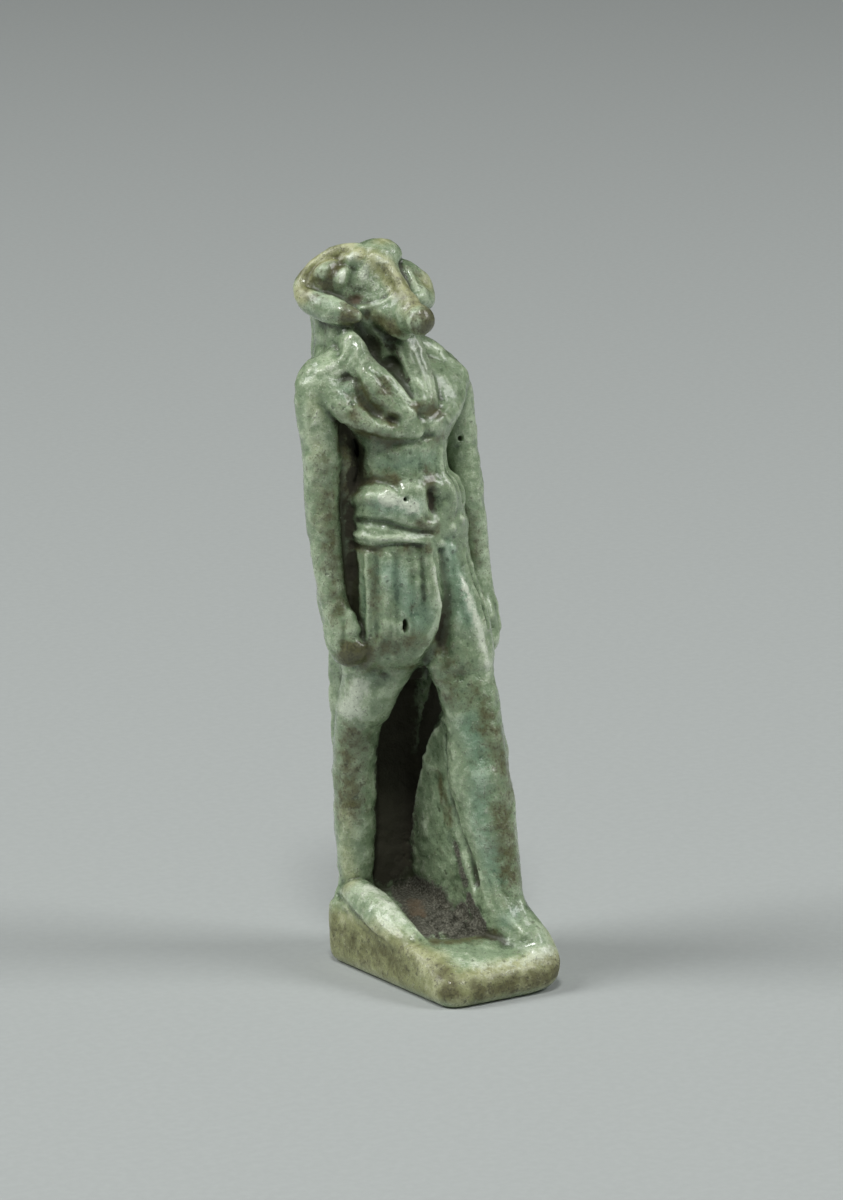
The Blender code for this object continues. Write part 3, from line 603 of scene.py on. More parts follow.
def add_kilt(clay):
    """The wrapped kilt."""
    clay.stack([(15.9, -0.2, 2.3, 2.7, 1.8), (16.6, -0.1, 1.8, 3.1, 2.2), (18.2, 0.0, 1.45, 3.3, 2.3),
                (20.5, 0.0, 1.25, 3.25, 2.15), (23.3, 0.0, 1.2, 3.2, 2.0)], 2.3, 0.4)
    clay.oval((-1.85, 2.6, 16.2), (1.45, 1.65, 1.5))
    clay.limb([(1.7, 0.9, 21.0, 1.5), (1.95, 0.3, 18.4, 1.66), (2.1, -0.1, 16.2, 1.62)])
    clay.limb([(-0.2, -0.7, 22.2, 0.24), (-0.25, -0.85, 20.5, 0.28), (-0.15, -0.95, 19.0, 0.3),
               (-0.35, -0.7, 17.9, 0.34), (-0.9, -0.1, 16.9, 0.36), (-1.8, 0.7, 16.2, 0.36)], 0.4)


def add_torso(clay):
    """The belly, the drawn-in waist, the chest, which stands out over it as a slanting fold, and the
    fill between the right arm and the body."""
    clay.stack([(22.8, 0.0, 1.2, 3.15, 2.05), (24.5, 0.0, 1.15, 3.15, 2.2), (25.4, -0.05, 1.15, 2.95, 2.2),
                (26.1, -0.1, 1.3, 2.45, 1.95), (27.4, -0.05, 1.35, 2.4, 1.95), (28.4, 0.0, 1.5, 2.95, 2.0),
                (29.6, 0.0, 1.95, 3.5, 2.1), (30.8, 0.0, 2.3, 3.9, 1.9), (31.7, 0.0, 2.9, 3.2, 1.4)], 2.2)
    clay.limb([(-4.1, 2.2, 30.8, 0.8), (-3.7, 1.4, 29.9, 0.7), (-3.1, 0.65, 29.15, 0.58),
               (-2.2, 0.05, 28.7, 0.48), (-1.2, -0.25, 28.45, 0.42), (-0.4, -0.35, 28.45, 0.36)], 0.6)
    clay.limb([(-3.15, 2.3, 29.4, 0.5), (-3.1, 2.1, 26.5, 0.55), (-3.2, 2.2, 23.0, 0.5),
               (-3.3, 2.4, 19.5, 0.4)], 0.3)
    clay.limb([(3.6, 1.8, 30.4, 0.8), (2.8, 0.9, 29.5, 0.7), (1.8, 0.15, 28.9, 0.55),
               (0.7, -0.3, 28.55, 0.42)], 0.6)


def add_arm(clay, side, stations, fist):
    """An arm hanging straight at the side, closed in a fist with its thumb in front."""
    clay.limb([(side * x, y, z, radius) for x, y, z, radius in stations], 0.2)
    x, y, z = fist
    clay.oval((side * x, y, z), (0.86, 0.95, 1.2), (8, 0, 0))
    clay.oval((side * (x - 0.25), y - 0.4, z - 0.8), (0.8, 0.85, 0.8), blend=0.4)
    clay.limb([(side * (x - 0.1), y - 0.55, z + 1.1, 0.36), (side * (x - 0.2), y - 0.75, z + 0.5, 0.36)])


def add_arms(clay):
    """Both arms. The left one hangs a little lower."""
    add_arm(clay, RIGHT, [(1.6, 3.2, 32.2, 0.9), (3.2, 2.8, 31.4, 1.1), (4.1, 2.75, 30.85, 1.17),
                          (4.3, 2.5, 28.0, 1.02), (4.35, 2.5, 24.3, 0.92), (4.3, 2.25, 20.6, 0.78),
                          (4.1, 1.95, 18.6, 0.8)], (4.0, 1.9, 17.9))
    add_arm(clay, LEFT, [(1.6, 3.0, 32.2, 0.9), (2.9, 2.6, 31.3, 0.95), (3.5, 2.3, 30.0, 1.25),
                         (3.85, 2.2, 28.0, 1.05), (4.1, 1.9, 24.0, 0.95), (4.35, 1.6, 20.2, 0.8),
                         (4.4, 1.4, 18.4, 0.8)], (4.35, 1.35, 17.4))


def add_wig(clay):
    """The long wig: a mass behind the head that rests on the shoulders, and two lappets in front."""
    clay.stack([(30.4, -0.1, 4.1, 3.0, 1.3), (31.6, -0.2, 3.9, 3.15, 1.6), (32.8, -0.25, 3.8, 2.85, 1.8),
                (34.4, -0.15, 3.75, 2.75, 1.85), (36.0, 0.0, 3.9, 2.3, 1.6),
                (36.9, 0.0, 3.8, 1.6, 1.1)], 2.8)
    clay.limb([(0, 3.1, 30.9, 1.5), (0, 3.0, 34.2, 1.3)])
    clay.limb([(-2.2, 2.5, 33.3, 0.35), (-2.5, 1.9, 32.4, 0.42), (-2.55, 1.4, 31.7, 0.48),
               (-2.3, 0.75, 31.0, 0.5), (-2.0, 0.35, 30.3, 0.48), (-1.5, -0.05, 29.7, 0.45),
               (-1.15, -0.25, 29.3, 0.42), (-0.85, -0.4, 28.85, 0.38), (-0.45, -0.5, 28.4, 0.32)], 0.5)
    clay.limb([(-2.2, 2.0, 33.0, 0.45), (-2.1, 1.4, 32.2, 0.45), (-1.75, 0.85, 31.5, 0.44),
               (-1.4, 0.45, 31.0, 0.42), (-1.05, 0.12, 30.4, 0.4), (-0.8, -0.1, 29.9, 0.38),
               (-0.65, -0.3, 29.4, 0.34)], 0.8)
    clay.limb([(1.1, 2.4, 33.8, 0.6), (0.95, 1.6, 32.8, 0.55), (0.9, 0.95, 31.8, 0.52),
               (0.8, 0.5, 31.1, 0.5), (0.75, 0.22, 30.5, 0.48), (0.65, -0.08, 29.8, 0.42),
               (0.6, -0.05, 29.2, 0.36)], 0.6)
    clay.limb([(0.4, 1.5, 32.6, 0.45), (0.35, 0.95, 31.8, 0.45), (0.3, 0.5, 31.1, 0.44),
               (0.25, 0.2, 30.5, 0.42), (0.2, -0.08, 29.8, 0.36), (0.2, -0.1, 29.2, 0.34)], 0.6)


def add_head(clay):
    """The ram's head: skull, a narrow nose with its ball, flat cheeks and a deep jaw."""
    clay.oval((-0.2, 3.15, 36.65), (1.1, 1.5, 1.25))
    clay.oval((0.4, 3.0, 37.05), (0.88, 1.0, 0.87), blend=0.4)
    clay.oval((-1.35, 3.35, 36.95), (0.6, 0.6, 0.55), blend=0.3)
    clay.oval((-0.87, 2.41, 35.66), (0.6, 1.2, 1.12), CHEEK_TURNS, 0.3)
    clay.limb([(0.1, 2.7, 36.0, 1.0), (0.05, 1.6, 35.1, 0.85), (0, 0.6, 34.5, 0.62)], 0.35)
    clay.oval((-1.1, 3.0, 37.15), (0.5, 0.5, 0.42), blend=0.25)
    clay.limb([(-0.45, 2.7, 36.9, 0.55), (-0.2, 2.0, 36.35, 0.6), (-0.05, 1.4, 35.75, 0.6),
               (0.05, 0.9, 35.25, 0.57), (0.08, 0.35, 34.85, 0.56), (0.05, -0.2, 34.45, 0.56),
               (0.05, -0.5, 34.3, 0.58)], 0.35)
    clay.oval((-0.75, 1.75, 34.35), (0.5, 0.5, 0.45), blend=0.5)
    clay.oval((0.05, -0.85, 34.08), (0.74, 0.68, 0.74), blend=0.2)
    clay.limb([(0, 2.2, 34.5, 0.95), (-0.1, 1.3, 33.9, 0.76), (-0.05, 0.8, 33.4, 0.48)], 0.3)
    clay.limb([(-0.1, 1.2, 34.4, 0.66), (0, 0.2, 34.3, 0.6)], 0.4)
    clay.limb([(0, 1.0, 33.7, 0.52), (0, -0.2, 33.95, 0.5)], 0.3)


def add_horns(clay):
    """The horns, which curl back round the ears and forward again under them."""
    clay.limb([(-0.9, 3.3, 37.5, 0.42), (-1.65, 3.9, 37.4, 0.42), (-2.6, 4.65, 36.75, 0.45),
               (-3.25, 4.95, 35.85, 0.55), (-3.35, 4.3, 35.1, 0.66), (-3.1, 3.5, 34.75, 0.74),
               (-2.8, 2.8, 34.55, 0.72), (-2.5, 2.25, 34.42, 0.6), (-2.25, 1.9, 34.3, 0.44)], 0.2)
    clay.oval((-2.1, 3.9, 36.0), (1.2, 1.1, 1.1), blend=0.4)
    clay.oval((-2.75, 3.75, 36.45), (0.45, 0.5, 0.35), blend=0.3)
    clay.oval((-2.0, 2.95, 36.4), (0.36, 0.4, 0.36), blend=0.3)
    clay.oval((-2.1, 2.85, 35.95), (0.34, 0.4, 0.36), blend=0.3)
    clay.oval((-1.95, 2.8, 35.55), (0.3, 0.35, 0.3), blend=0.3)
    clay.limb([(0.5, 3.4, 36.8, 0.45), (1.1, 3.2, 36.45, 0.42), (1.7, 2.75, 36.1, 0.42),
               (2.2, 2.3, 35.55, 0.48), (2.35, 2.1, 35.0, 0.52), (2.05, 1.7, 34.6, 0.5)], 0.2)
    clay.oval((1.3, 2.8, 35.5), (1.0, 1.2, 1.0), blend=0.4)
    clay.oval((1.3, 1.7, 34.9), (0.95, 0.95, 0.75), blend=0.4)


def carve_head(clay):
    """The flat hollow of the near cheek, the pit in its corner, the ear's hollow, the rims round them,
    the ridge of the nose and the far horn's groove."""
    clay.dent((-1.38, 1.85, 35.82), (0.5, 1.3, 1.15), CHEEK_TURNS, 0.3)
    clay.stroke([(-0.6, 1.9, 36.75, 0.25), (-0.5, 1.4, 36.3, 0.3), (-0.35, 0.95, 35.7, 0.3),
                 (-0.4, 0.5, 35.0, 0.28)], 0.05)
    clay.stroke([(-0.6, 2.3, 37.2, 0.35), (-0.25, 1.5, 36.7, 0.4), (-0.1, 1.0, 36.1, 0.42),
                 (-0.05, 0.4, 35.5, 0.42), (0.0, -0.2, 35.0, 0.38)], -0.09)
    clay.press((-1.8, 2.3, 35.05), (0.45, 0.6, 0.35), 0.22)
    clay.press((-2.2, 2.7, 36.15), (0.4, 0.45, 0.6), -0.12)
    clay.stroke([(-1.8, 2.2, 34.6, 0.25), (-1.3, 1.9, 34.7, 0.28), (-0.9, 1.5, 34.85, 0.28),
                 (-0.55, 1.0, 35.1, 0.25)], -0.12)
    clay.stroke([(-2.0, 3.8, 37.2, 0.25), (-2.6, 4.1, 37.0, 0.34), (-3.2, 4.4, 36.6, 0.32),
                 (-3.5, 4.5, 36.1, 0.3), (-3.6, 4.2, 35.7, 0.25)], 0.1)
    clay.stroke([(-1.9, 3.1, 37.0, 0.28), (-2.4, 3.3, 36.6, 0.34), (-2.7, 3.3, 36.1, 0.4),
                 (-2.9, 3.2, 35.7, 0.35)], 0.26)
    clay.press((-3.0, 3.5, 36.75), (0.4, 0.4, 0.3), -0.14)
    clay.stroke([(-3.3, 4.0, 36.0, 0.4), (-3.0, 3.5, 35.95, 0.45), (-2.65, 3.15, 35.8, 0.4)], 0.2)
    clay.stroke([(-3.4, 4.2, 35.7, 0.22), (-3.1, 3.6, 35.6, 0.25), (-2.6, 3.1, 35.5, 0.28),
                 (-2.2, 2.6, 35.2, 0.28), (-1.9, 2.2, 34.8, 0.25)], 0.16)
    clay.stroke([(0.85, 2.6, 36.8, 0.3), (0.9, 2.0, 36.3, 0.34), (0.9, 1.4, 35.8, 0.34),
                 (0.8, 0.8, 35.2, 0.3)], 0.2)
    clay.stroke([(1.3, 2.3, 36.4, 0.2), (1.3, 1.8, 35.9, 0.22), (1.3, 1.4, 35.5, 0.2)], -0.1)
    clay.press((1.2, 1.0, 35.3), (0.2, 0.3, 0.2), 0.12)


def carve_wig(clay):
    """The hem of the wig's side, the deep gap between the lappets, the folds along them, the line
    under the chest and the left arm's pinhole."""
    clay.stroke([(-4.5, 1.9, 31.7, 0.25), (-3.8, 1.8, 32.0, 0.32), (-3.5, 1.7, 32.3, 0.34),
                 (-3.0, 1.7, 32.8, 0.3), (-2.8, 1.9, 33.2, 0.25)], -0.12)
    clay.stroke([(-1.9, 2.1, 33.6, 0.5), (-1.2, 1.6, 32.7, 0.7), (-0.6, 0.9, 31.6, 0.6),
                 (-0.5, 0.3, 30.7, 0.4), (-0.5, -0.2, 30.0, 0.2)], 0.8)
    clay.stroke([(-3.1, 1.1, 31.6, 0.26), (-3.05, 0.85, 31.1, 0.34), (-2.85, 0.55, 30.3, 0.36),
                 (-2.55, 0.2, 29.7, 0.36), (-2.25, -0.2, 29.2, 0.34)], 0.2)
    clay.press((-1.7, -0.4, 29.1), (0.62, 0.6, 0.42), 0.2)
    clay.stroke([(-0.3, -0.3, 29.3, 0.35), (0.3, -0.5, 29.15, 0.5), (0.9, -0.5, 29.1, 0.5),
                 (1.3, -0.3, 29.3, 0.35)], 0.16)
    clay.stroke([(1.35, 0.6, 32.0, 0.14), (1.3, 0.0, 31.1, 0.17), (1.3, -0.2, 30.7, 0.18),
                 (1.15, -0.4, 30.1, 0.18), (1.15, -0.5, 29.6, 0.16), (1.35, -0.5, 29.1, 0.18),
                 (1.7, -0.4, 28.6, 0.2)], -0.12)
    clay.stroke([(1.75, 0.9, 31.6, 0.3), (1.75, 0.3, 30.6, 0.35), (1.7, 0.0, 29.9, 0.35)], 0.1)
    for shift in (-0.1, 0.18, 0.46):
        clay.stroke([(-2.3 + shift, 0.9, 32.0, 0.13), (-1.95 + shift, 0.3, 31.2, 0.15),
                     (-1.5 + shift, -0.2, 30.4, 0.15), (-1.2 + shift, -0.5, 29.7, 0.13)], 0.1)
        clay.stroke([(0.2 + shift, 0.8, 32.1, 0.13), (0.2 + shift, 0.2, 31.0, 0.15),
                     (0.15 + shift, -0.3, 30.0, 0.13)], 0.1)
    clay.stroke([(-3.6, 1.0, 28.9, 0.35), (-2.9, 0.1, 28.1, 0.36), (-1.8, -0.4, 27.85, 0.36),
                 (-0.6, -0.6, 27.9, 0.34), (0.5, -0.7, 28.0, 0.3)], 0.14)
    clay.dent((3.5, 1.2, 27.3), (0.13, 0.4, 0.15), blend=0.08)
    clay.press((-3.4, 0.7, 30.0), (0.2, 0.3, 0.2), 0.12)


def carve_belly(clay):
    """The ledge over the belly, the navel's slot, the left flank and the belly's pinhole."""
    clay.stroke([(-2.85, 1.4, 25.9, 0.3), (-2.7, 0.9, 26.0, 0.36), (-2.4, 0.3, 26.0, 0.36),
                 (-1.9, -0.5, 25.75, 0.32), (-1.75, -0.7, 25.3, 0.2)], 0.3)
    clay.stroke([(-3.1, 1.5, 24.95, 0.45), (-2.8, 0.7, 25.1, 0.5), (-2.4, 0.0, 25.1, 0.48),
                 (-2.2, -0.4, 24.9, 0.4)], -0.2)
    clay.dent((0.2, -1.25, 24.7), (0.36, 0.75, 0.85), (0, -8, 0), 0.5)
    clay.stroke([(-0.85, -1.0, 24.2, 0.18), (-0.5, -1.0, 23.68, 0.24), (0.0, -1.0, 23.5, 0.22),
                 (0.4, -1.0, 23.6, 0.16)], -0.16)
    clay.stroke([(1.25, -0.4, 27.1, 0.35), (1.15, -0.6, 26.3, 0.42), (1.3, -0.9, 25.5, 0.45),
                 (1.5, -0.9, 24.7, 0.42), (1.6, -0.9, 24.0, 0.3)], -0.2)
    clay.stroke([(2.2, 0.1, 27.0, 0.3), (2.1, 0.0, 26.2, 0.36), (2.3, -0.3, 25.3, 0.36),
                 (2.5, -0.4, 24.4, 0.3)], 0.2)
    clay.dent((-1.4, -0.9, 25.0), (0.14, 0.35, 0.15), blend=0.08)


def carve_belt(clay):
    """The belt: a deep groove over it, a thin ridge along its lower edge and bumps at its left end."""
    clay.stroke([(-3.1, 1.2, 23.9, 0.25), (-2.9, 0.4, 23.9, 0.3), (-2.3, -0.3, 23.8, 0.3),
                 (-1.6, -0.6, 23.5, 0.28), (-0.7, -0.9, 23.2, 0.24), (0.0, -1.0, 23.05, 0.16)], 0.46)
    clay.stroke([(-3.2, 1.4, 23.15, 0.18), (-3.15, 0.5, 23.1, 0.22), (-2.9, -0.1, 23.02, 0.24),
                 (-2.4, -0.4, 23.02, 0.24), (-1.9, -0.7, 22.98, 0.24), (-1.0, -0.9, 22.8, 0.22),
                 (-0.3, -1.0, 22.6, 0.18), (0.6, -0.9, 22.45, 0.12)], -0.25)
    clay.stroke([(-3.2, 1.6, 22.6, 0.25), (-2.9, 0.3, 22.5, 0.25), (-2.5, -0.3, 22.65, 0.2),
                 (-1.6, -0.8, 22.65, 0.18), (-0.7, -0.9, 22.45, 0.16)], 0.18)
    clay.press((-2.75, 0.2, 22.4), (0.3, 0.4, 0.2), 0.18)
    for x, y, z in ((1.4, -0.8, 23.1), (2.2, -0.5, 23.4), (1.4, -0.75, 22.1), (0.6, -0.9, 22.4)):
        clay.press((x, y, z), (0.4, 0.5, 0.35), -0.16)


def carve_kilt(clay):
    """The kilt's pleats, its overlapping front edge, the deep fold beside it and its hole."""
    for top, middle, foot, radius, depth in (((-3.2, 1.5), (-3.25, 1.5), (-3.3, 1.7), 0.3, 0.14),
                                             ((-3.05, 0.6), (-3.1, 0.55), (-3.2, 0.7), 0.28, -0.16),
                                             ((-2.85, 0.05), (-2.9, 0.1), (-2.95, 0.2), 0.28, 0.22),
                                             ((-2.45, -0.4), (-2.55, -0.35), (-2.65, -0.2), 0.3, -0.12),
                                             ((-2.05, -0.5), (-2.05, -0.5), (-2.1, -0.4), 0.28, 0.12),
                                             ((-1.25, -0.8), (-1.3, -0.8), (-1.4, -0.7), 0.28, 0.08)):
        clay.stroke([(*top, 22.1, radius), (*middle, 20.2, radius), (*foot, 17.8, radius * 0.6)], depth)
    clay.stroke([(-0.7, -0.95, 21.8, 0.2), (-0.7, -0.95, 20.8, 0.26), (-0.7, -1.0, 19.7, 0.24)], 0.1)
    clay.stroke([(-0.2, -0.9, 22.0, 0.16), (-0.1, -1.1, 21.0, 0.2), (-0.1, -1.2, 20.2, 0.22),
                 (0.1, -1.2, 19.3, 0.24), (-0.15, -1.2, 18.5, 0.22), (-0.5, -1.0, 17.7, 0.2)], -0.17)
    clay.stroke([(0.6, -0.7, 22.0, 0.35), (0.7, -0.75, 20.8, 0.45), (0.8, -0.75, 19.7, 0.5),
                 (0.7, -0.7, 18.6, 0.6), (0.4, -0.5, 17.5, 0.7), (-0.3, -0.2, 16.5, 0.5)], 0.42)
    clay.stroke([(1.5, -0.8, 21.4, 0.35), (1.65, -1.1, 20.0, 0.45), (1.9, -1.4, 18.8, 0.5),
                 (2.05, -1.6, 17.9, 0.5), (2.2, -1.7, 17.2, 0.45), (2.35, -1.8, 16.0, 0.4)], -0.18)
    clay.stroke([(2.6, -0.6, 21.5, 0.25), (2.75, -0.7, 19.5, 0.28), (2.9, -1.1, 17.8, 0.25)], 0.14)
    clay.stroke([(-3.3, 3.0, 15.7, 0.25), (-3.15, 1.9, 15.9, 0.28), (-2.95, 1.1, 16.2, 0.28),
                 (-2.9, 0.5, 17.1, 0.25), (-2.8, 0.1, 17.7, 0.2)], -0.1)
    clay.dent((-1.7, -0.6, 18.4), (0.18, 0.45, 0.4), blend=0.1)


def carve_legs(clay):
    """The groove between the web and the forward leg, and the leg's uneven front."""
    clay.stroke([(0.85, 0.0, 12.2, 0.3), (0.95, 0.0, 10.2, 0.3), (1.0, -0.2, 8.7, 0.35),
                 (0.9, -0.8, 7.4, 0.45), (0.95, -1.4, 6.0, 0.5), (1.0, -1.9, 4.6, 0.45)], 0.22)
    for x, y, z, depth in ((1.2, -1.9, 13.2, 0.12), (1.4, -2.3, 10.2, -0.16), (2.4, -2.4, 12.0, -0.1),
                           (2.6, -2.9, 8.4, 0.12), (1.5, -2.6, 7.2, -0.1), (-3.2, 3.0, 11.0, 0.12),
                           (-3.0, 3.6, 8.0, -0.1), (-2.8, 2.2, 14.4, -0.1)):
        clay.press((x, y, z), (1.0, 1.0, 1.2), depth)


def carve_feet(clay):
    """The groove under the right foot, the toes and the sharp instep of the left foot."""
    clay.stroke([(-3.5, 4.6, 3.6, 0.25), (-3.75, 3.4, 3.4, 0.3), (-3.8, 1.8, 2.9, 0.3),
                 (-3.8, 0.4, 2.4, 0.2), (-3.7, -0.8, 2.1, 0.12)], 0.22)
    for shift in (0.0, 0.4, 0.8):
        clay.stroke([(-3.3 + shift, -1.2, 2.8, 0.1), (-3.25 + shift, -2.3, 2.2, 0.16)], 0.09)
    clay.stroke([(1.5, -2.9, 5.0, 0.3), (1.6, -3.4, 3.7, 0.34), (1.65, -4.0, 2.9, 0.34),
                 (1.9, -4.8, 2.2, 0.3)], -0.14)


def carve_hands(clay):
    """The grooves between thumb and fingers of the closed hands."""
    clay.stroke([(-4.6, 0.7, 18.9, 0.15), (-4.7, 0.7, 18.2, 0.18), (-4.6, 0.9, 17.5, 0.15)], 0.12)
    clay.stroke([(4.9, 0.4, 18.2, 0.15), (5.0, 0.4, 17.5, 0.18), (4.9, 0.6, 16.9, 0.15)], 0.12)


def sculpt():
    """The whole amulet in clay."""
    low = np.array(cad_box[0]) / MM - MARGIN
    high = np.array(cad_box[1]) / MM + MARGIN
    clay = Clay(low, high, GRAIN)
    add_base(clay)
    add_pillar(clay)
    add_legs(clay)
    add_feet(clay)
    add_kilt(clay)
    add_torso(clay)
    add_arms(clay)
    add_wig(clay)
    add_head(clay)
    add_horns(clay)
    add_dirt(clay)
    for carve in (carve_head, carve_wig, carve_belly, carve_belt, carve_kilt, carve_hands,
                  carve_legs, carve_feet):
        carve(clay)
    for seed, (size, amount) in enumerate(WAVES):
        clay.roughen(size, amount, seed)
    ground = clay.world_places((slice(None), slice(None), slice(None)))[2]
    clay.distance = np.maximum(clay.distance, -ground)
    return clay


def new_mesh(name, points, faces):
    """A smooth mesh object of positions in millimetres."""
    mesh = bpy.data.meshes.new(name)
    mesh.vertices.add(len(points))
    mesh.vertices.foreach_set("co", (points * MM).astype(np.float32).ravel())
    sides = faces.shape[1]
    mesh.loops.add(faces.size)
    mesh.loops.foreach_set("vertex_index", faces.astype(np.int32).ravel())
    mesh.polygons.add(len(faces))
    mesh.polygons.foreach_set("loop_start", np.arange(0, faces.size, sides, dtype=np.int32))
    mesh.polygons.foreach_set("loop_total", np.full(len(faces), sides, np.int32))
    mesh.update(calc_edges=True)
    mesh.validate()
    mesh.shade_smooth()
    thing = bpy.data.objects.new(name, mesh)
    bpy.context.scene.collection.objects.link(thing)
    return thing


def main_part(points, faces):
    """The largest joined part of the skin, without bubbles inside it or loose crumbs."""
    part = np.arange(len(points))
    joined = False
    while not joined:
        lower = part.copy()
        np.minimum.at(lower, faces.ravel(), np.repeat(part[faces].min(axis=1), faces.shape[1]))
        lower = lower[lower]
        joined = np.array_equal(lower, part)
        part = lower
    kept = part == np.bincount(part).argmax()
    place = np.cumsum(kept) - 1
    return points[kept], place[faces[kept[faces[:, 0]]]]


def thin_out(thing, budget):
    """Brings a mesh under a number of triangles, where it is flattest first."""
    mesh = thing.data
    triangles = sum(len(face.vertices) - 2 for face in mesh.polygons)
    thinner = thing.modifiers.new("thin out", "DECIMATE")
    thinner.ratio = min(1.0, budget / triangles)
    thinner.use_collapse_triangulate = True
    graph = bpy.context.evaluated_depsgraph_get()
    result = bpy.data.meshes.new_from_object(thing.evaluated_get(graph))
    thing.modifiers.clear()
    thing.data = result
    bpy.data.meshes.remove(mesh)


def spread(points, stains):
    """How strongly some stains and marks of painted light lie on figure positions."""
    result = np.zeros(len(points), np.float32)
    for strength, *course in stains:
        line = np.array(course if len(course) > 1 else course * 2)
        nearest = np.full(len(points), FAR)
        for start, end in zip(line, line[1:]):
            way = end - start
            share = np.clip((points - start[:3]) @ way[:3] / max(way[:3] @ way[:3], 1e-9), 0, 1)
            away = np.linalg.norm(points - start[:3] - share[:, None] * way[:3], axis=1)
            nearest = np.minimum(nearest, away / (start[3] + share * way[3]))
        result = np.maximum(result, strength * np.exp(-STAIN_AND_LIGHT_FADE * nearest ** 2))
    return result


def mark_skin(amulet, clay):
    """Writes on the skin where it is hollow, sharp or stained, and where shade and highlights are painted,
    for the glaze to read.
    """
    mesh = amulet.data
    points = np.empty(len(mesh.vertices) * 3, np.float32)
    mesh.vertices.foreach_get("co", points)
    world = points.reshape(-1, 3).astype(float) / MM
    figure = (world - PIVOT) @ LEAN + PIVOT - SHIFT
    marks = {name: spread(figure, spots) for name, spots in STAINS_AND_PAINTED_LIGHT.items()}
    # The soil and its painted shade stop short of the pillar's back.
    marks["soil_and_shade"] *= np.clip((GRID_REAR - SOIL_AND_SHADE_LIMIT - figure[:, 1]) / SOIL_AND_SHADE_FADE, 0, 1)
    for name, reach in (("crease", CREASE_REACH), ("hollow", HOLLOW_REACH)):
        marks[name] = clay.sample(clay.fullness(reach), world)
    for name, values in marks.items():
        mesh.attributes.new(name, "FLOAT", "POINT").data.foreach_set("value", values.astype(np.float32))


def build_amulet():
    """The amulet's skin as one object."""
    clay = sculpt()
    points, faces = main_part(*clay.skin())
    amulet = new_mesh("amulet", points, faces)
    thin_out(amulet, TRIANGLE_BUDGET)
    mark_skin(amulet, clay)
    amulet.data.materials.clear()
    amulet.data.materials.append(faience())
    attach(amulet, "root")
    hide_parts("ram_headed_amulet")


# The photograph's viewpoint
VIEW_AZIMUTH = -33.5
VIEW_ELEVATION = 13.0
VIEW_DISTANCE = 300.0
VIEW_TARGET = (-1.023, 0.677, 20.016)
LENS = 175.0
SENSOR = 36.0
CLIP_START = 0.01


def direction(azimuth, elevation):
    """The direction of a place that lies so many degrees round from the front and above the floor."""
    turn = np.radians(azimuth)
    tilt = np.radians(elevation)
    return Vector((np.sin(turn) * np.cos(tilt), -np.cos(turn) * np.cos(tilt), np.sin(tilt)))


def add_camera():
    """The camera at the photograph's viewpoint."""
    back = direction(VIEW_AZIMUTH, VIEW_ELEVATION)
    camera_data = bpy.data.cameras.new("camera")
    camera_data.lens = LENS
    camera_data.sensor_width = SENSOR
    camera_data.clip_start = CLIP_START
    camera = bpy.data.objects.new("camera", camera_data)
    camera.location = (Vector(VIEW_TARGET) + back * VIEW_DISTANCE) * MM
    camera.rotation_euler = back.to_track_quat("Z", "Y").to_euler()
    bpy.context.scene.collection.objects.link(camera)
    bpy.context.scene.camera = camera


class Socket:
    """A shader output that can stand in sums, and the place where every other node is made."""

    def __init__(self, tree, output=None):
        self.tree = tree
        self.output = output

    def make(self, kind, settings=None, values=None, output=0):
        """A node of a kind, with its settings first and then the values or links of its sockets."""
        node = self.tree.nodes.new(kind)
        for name, value in (settings or {}).items():
            setattr(node, name, value)
        for name, value in (values or {}).items():
            if isinstance(value, Socket):
                self.tree.links.new(value.output, node.inputs[name])
            else:
                node.inputs[name].default_value = value
        return Socket(self.tree, node.outputs[output])

    def math(self, operation, first, second):
        """A Math node on two values."""
        return self.make("ShaderNodeMath", {"operation": operation}, {0: first, 1: second})

    def __add__(self, other):
        return self.math("ADD", self, other)

    def __sub__(self, other):
        return self.math("SUBTRACT", self, other)

    def __rsub__(self, other):
        return self.math("SUBTRACT", other, self)

    def __mul__(self, other):
        return self.math("MULTIPLY", self, other)

    __radd__ = __add__
    __rmul__ = __mul__

    def step(self, low, high):
        """A soft step from 0 at low to 1 at high."""
        return self.make("ShaderNodeMapRange", {"interpolation_type": "SMOOTHSTEP"},
                         {"Value": self, "From Min": low, "From Max": high})

    def blend(self, first, second):
        """A colour between two, by this share."""
        colours = [value if isinstance(value, Socket) else (*value, 1.0) for value in (first, second)]
        return self.make("ShaderNodeMix", {"data_type": "RGBA"}, {0: self, 6: colours[0], 7: colours[1]}, 2)


def new_material(name):
    """A material with its surface shader and a socket to start from."""
    material = bpy.data.materials.new(name)
    material.use_nodes = True
    return material, material.node_tree.nodes["Principled BSDF"], Socket(material.node_tree)


def noise(start, size, detail=3.0, roughness=0.5):
    """Cloudy noise over the object, with spots about as wide as size in millimetres."""
    place = start.make("ShaderNodeTexCoord", output="Object")
    return start.make("ShaderNodeTexNoise", None,
                      {"Vector": place, "Scale": 1 / (size * MM), "Detail": detail, "Roughness": roughness})


def cells(start, size):
    """The distance to scattered points about size millimetres apart."""
    place = start.make("ShaderNodeTexCoord", output="Object")
    return start.make("ShaderNodeTexVoronoi", None, {"Vector": place, "Scale": 1 / (size * MM)})


def attribute(start, name):
    """A value written on the skin."""
    return start.make("ShaderNodeAttribute", {"attribute_name": name}, output="Fac")


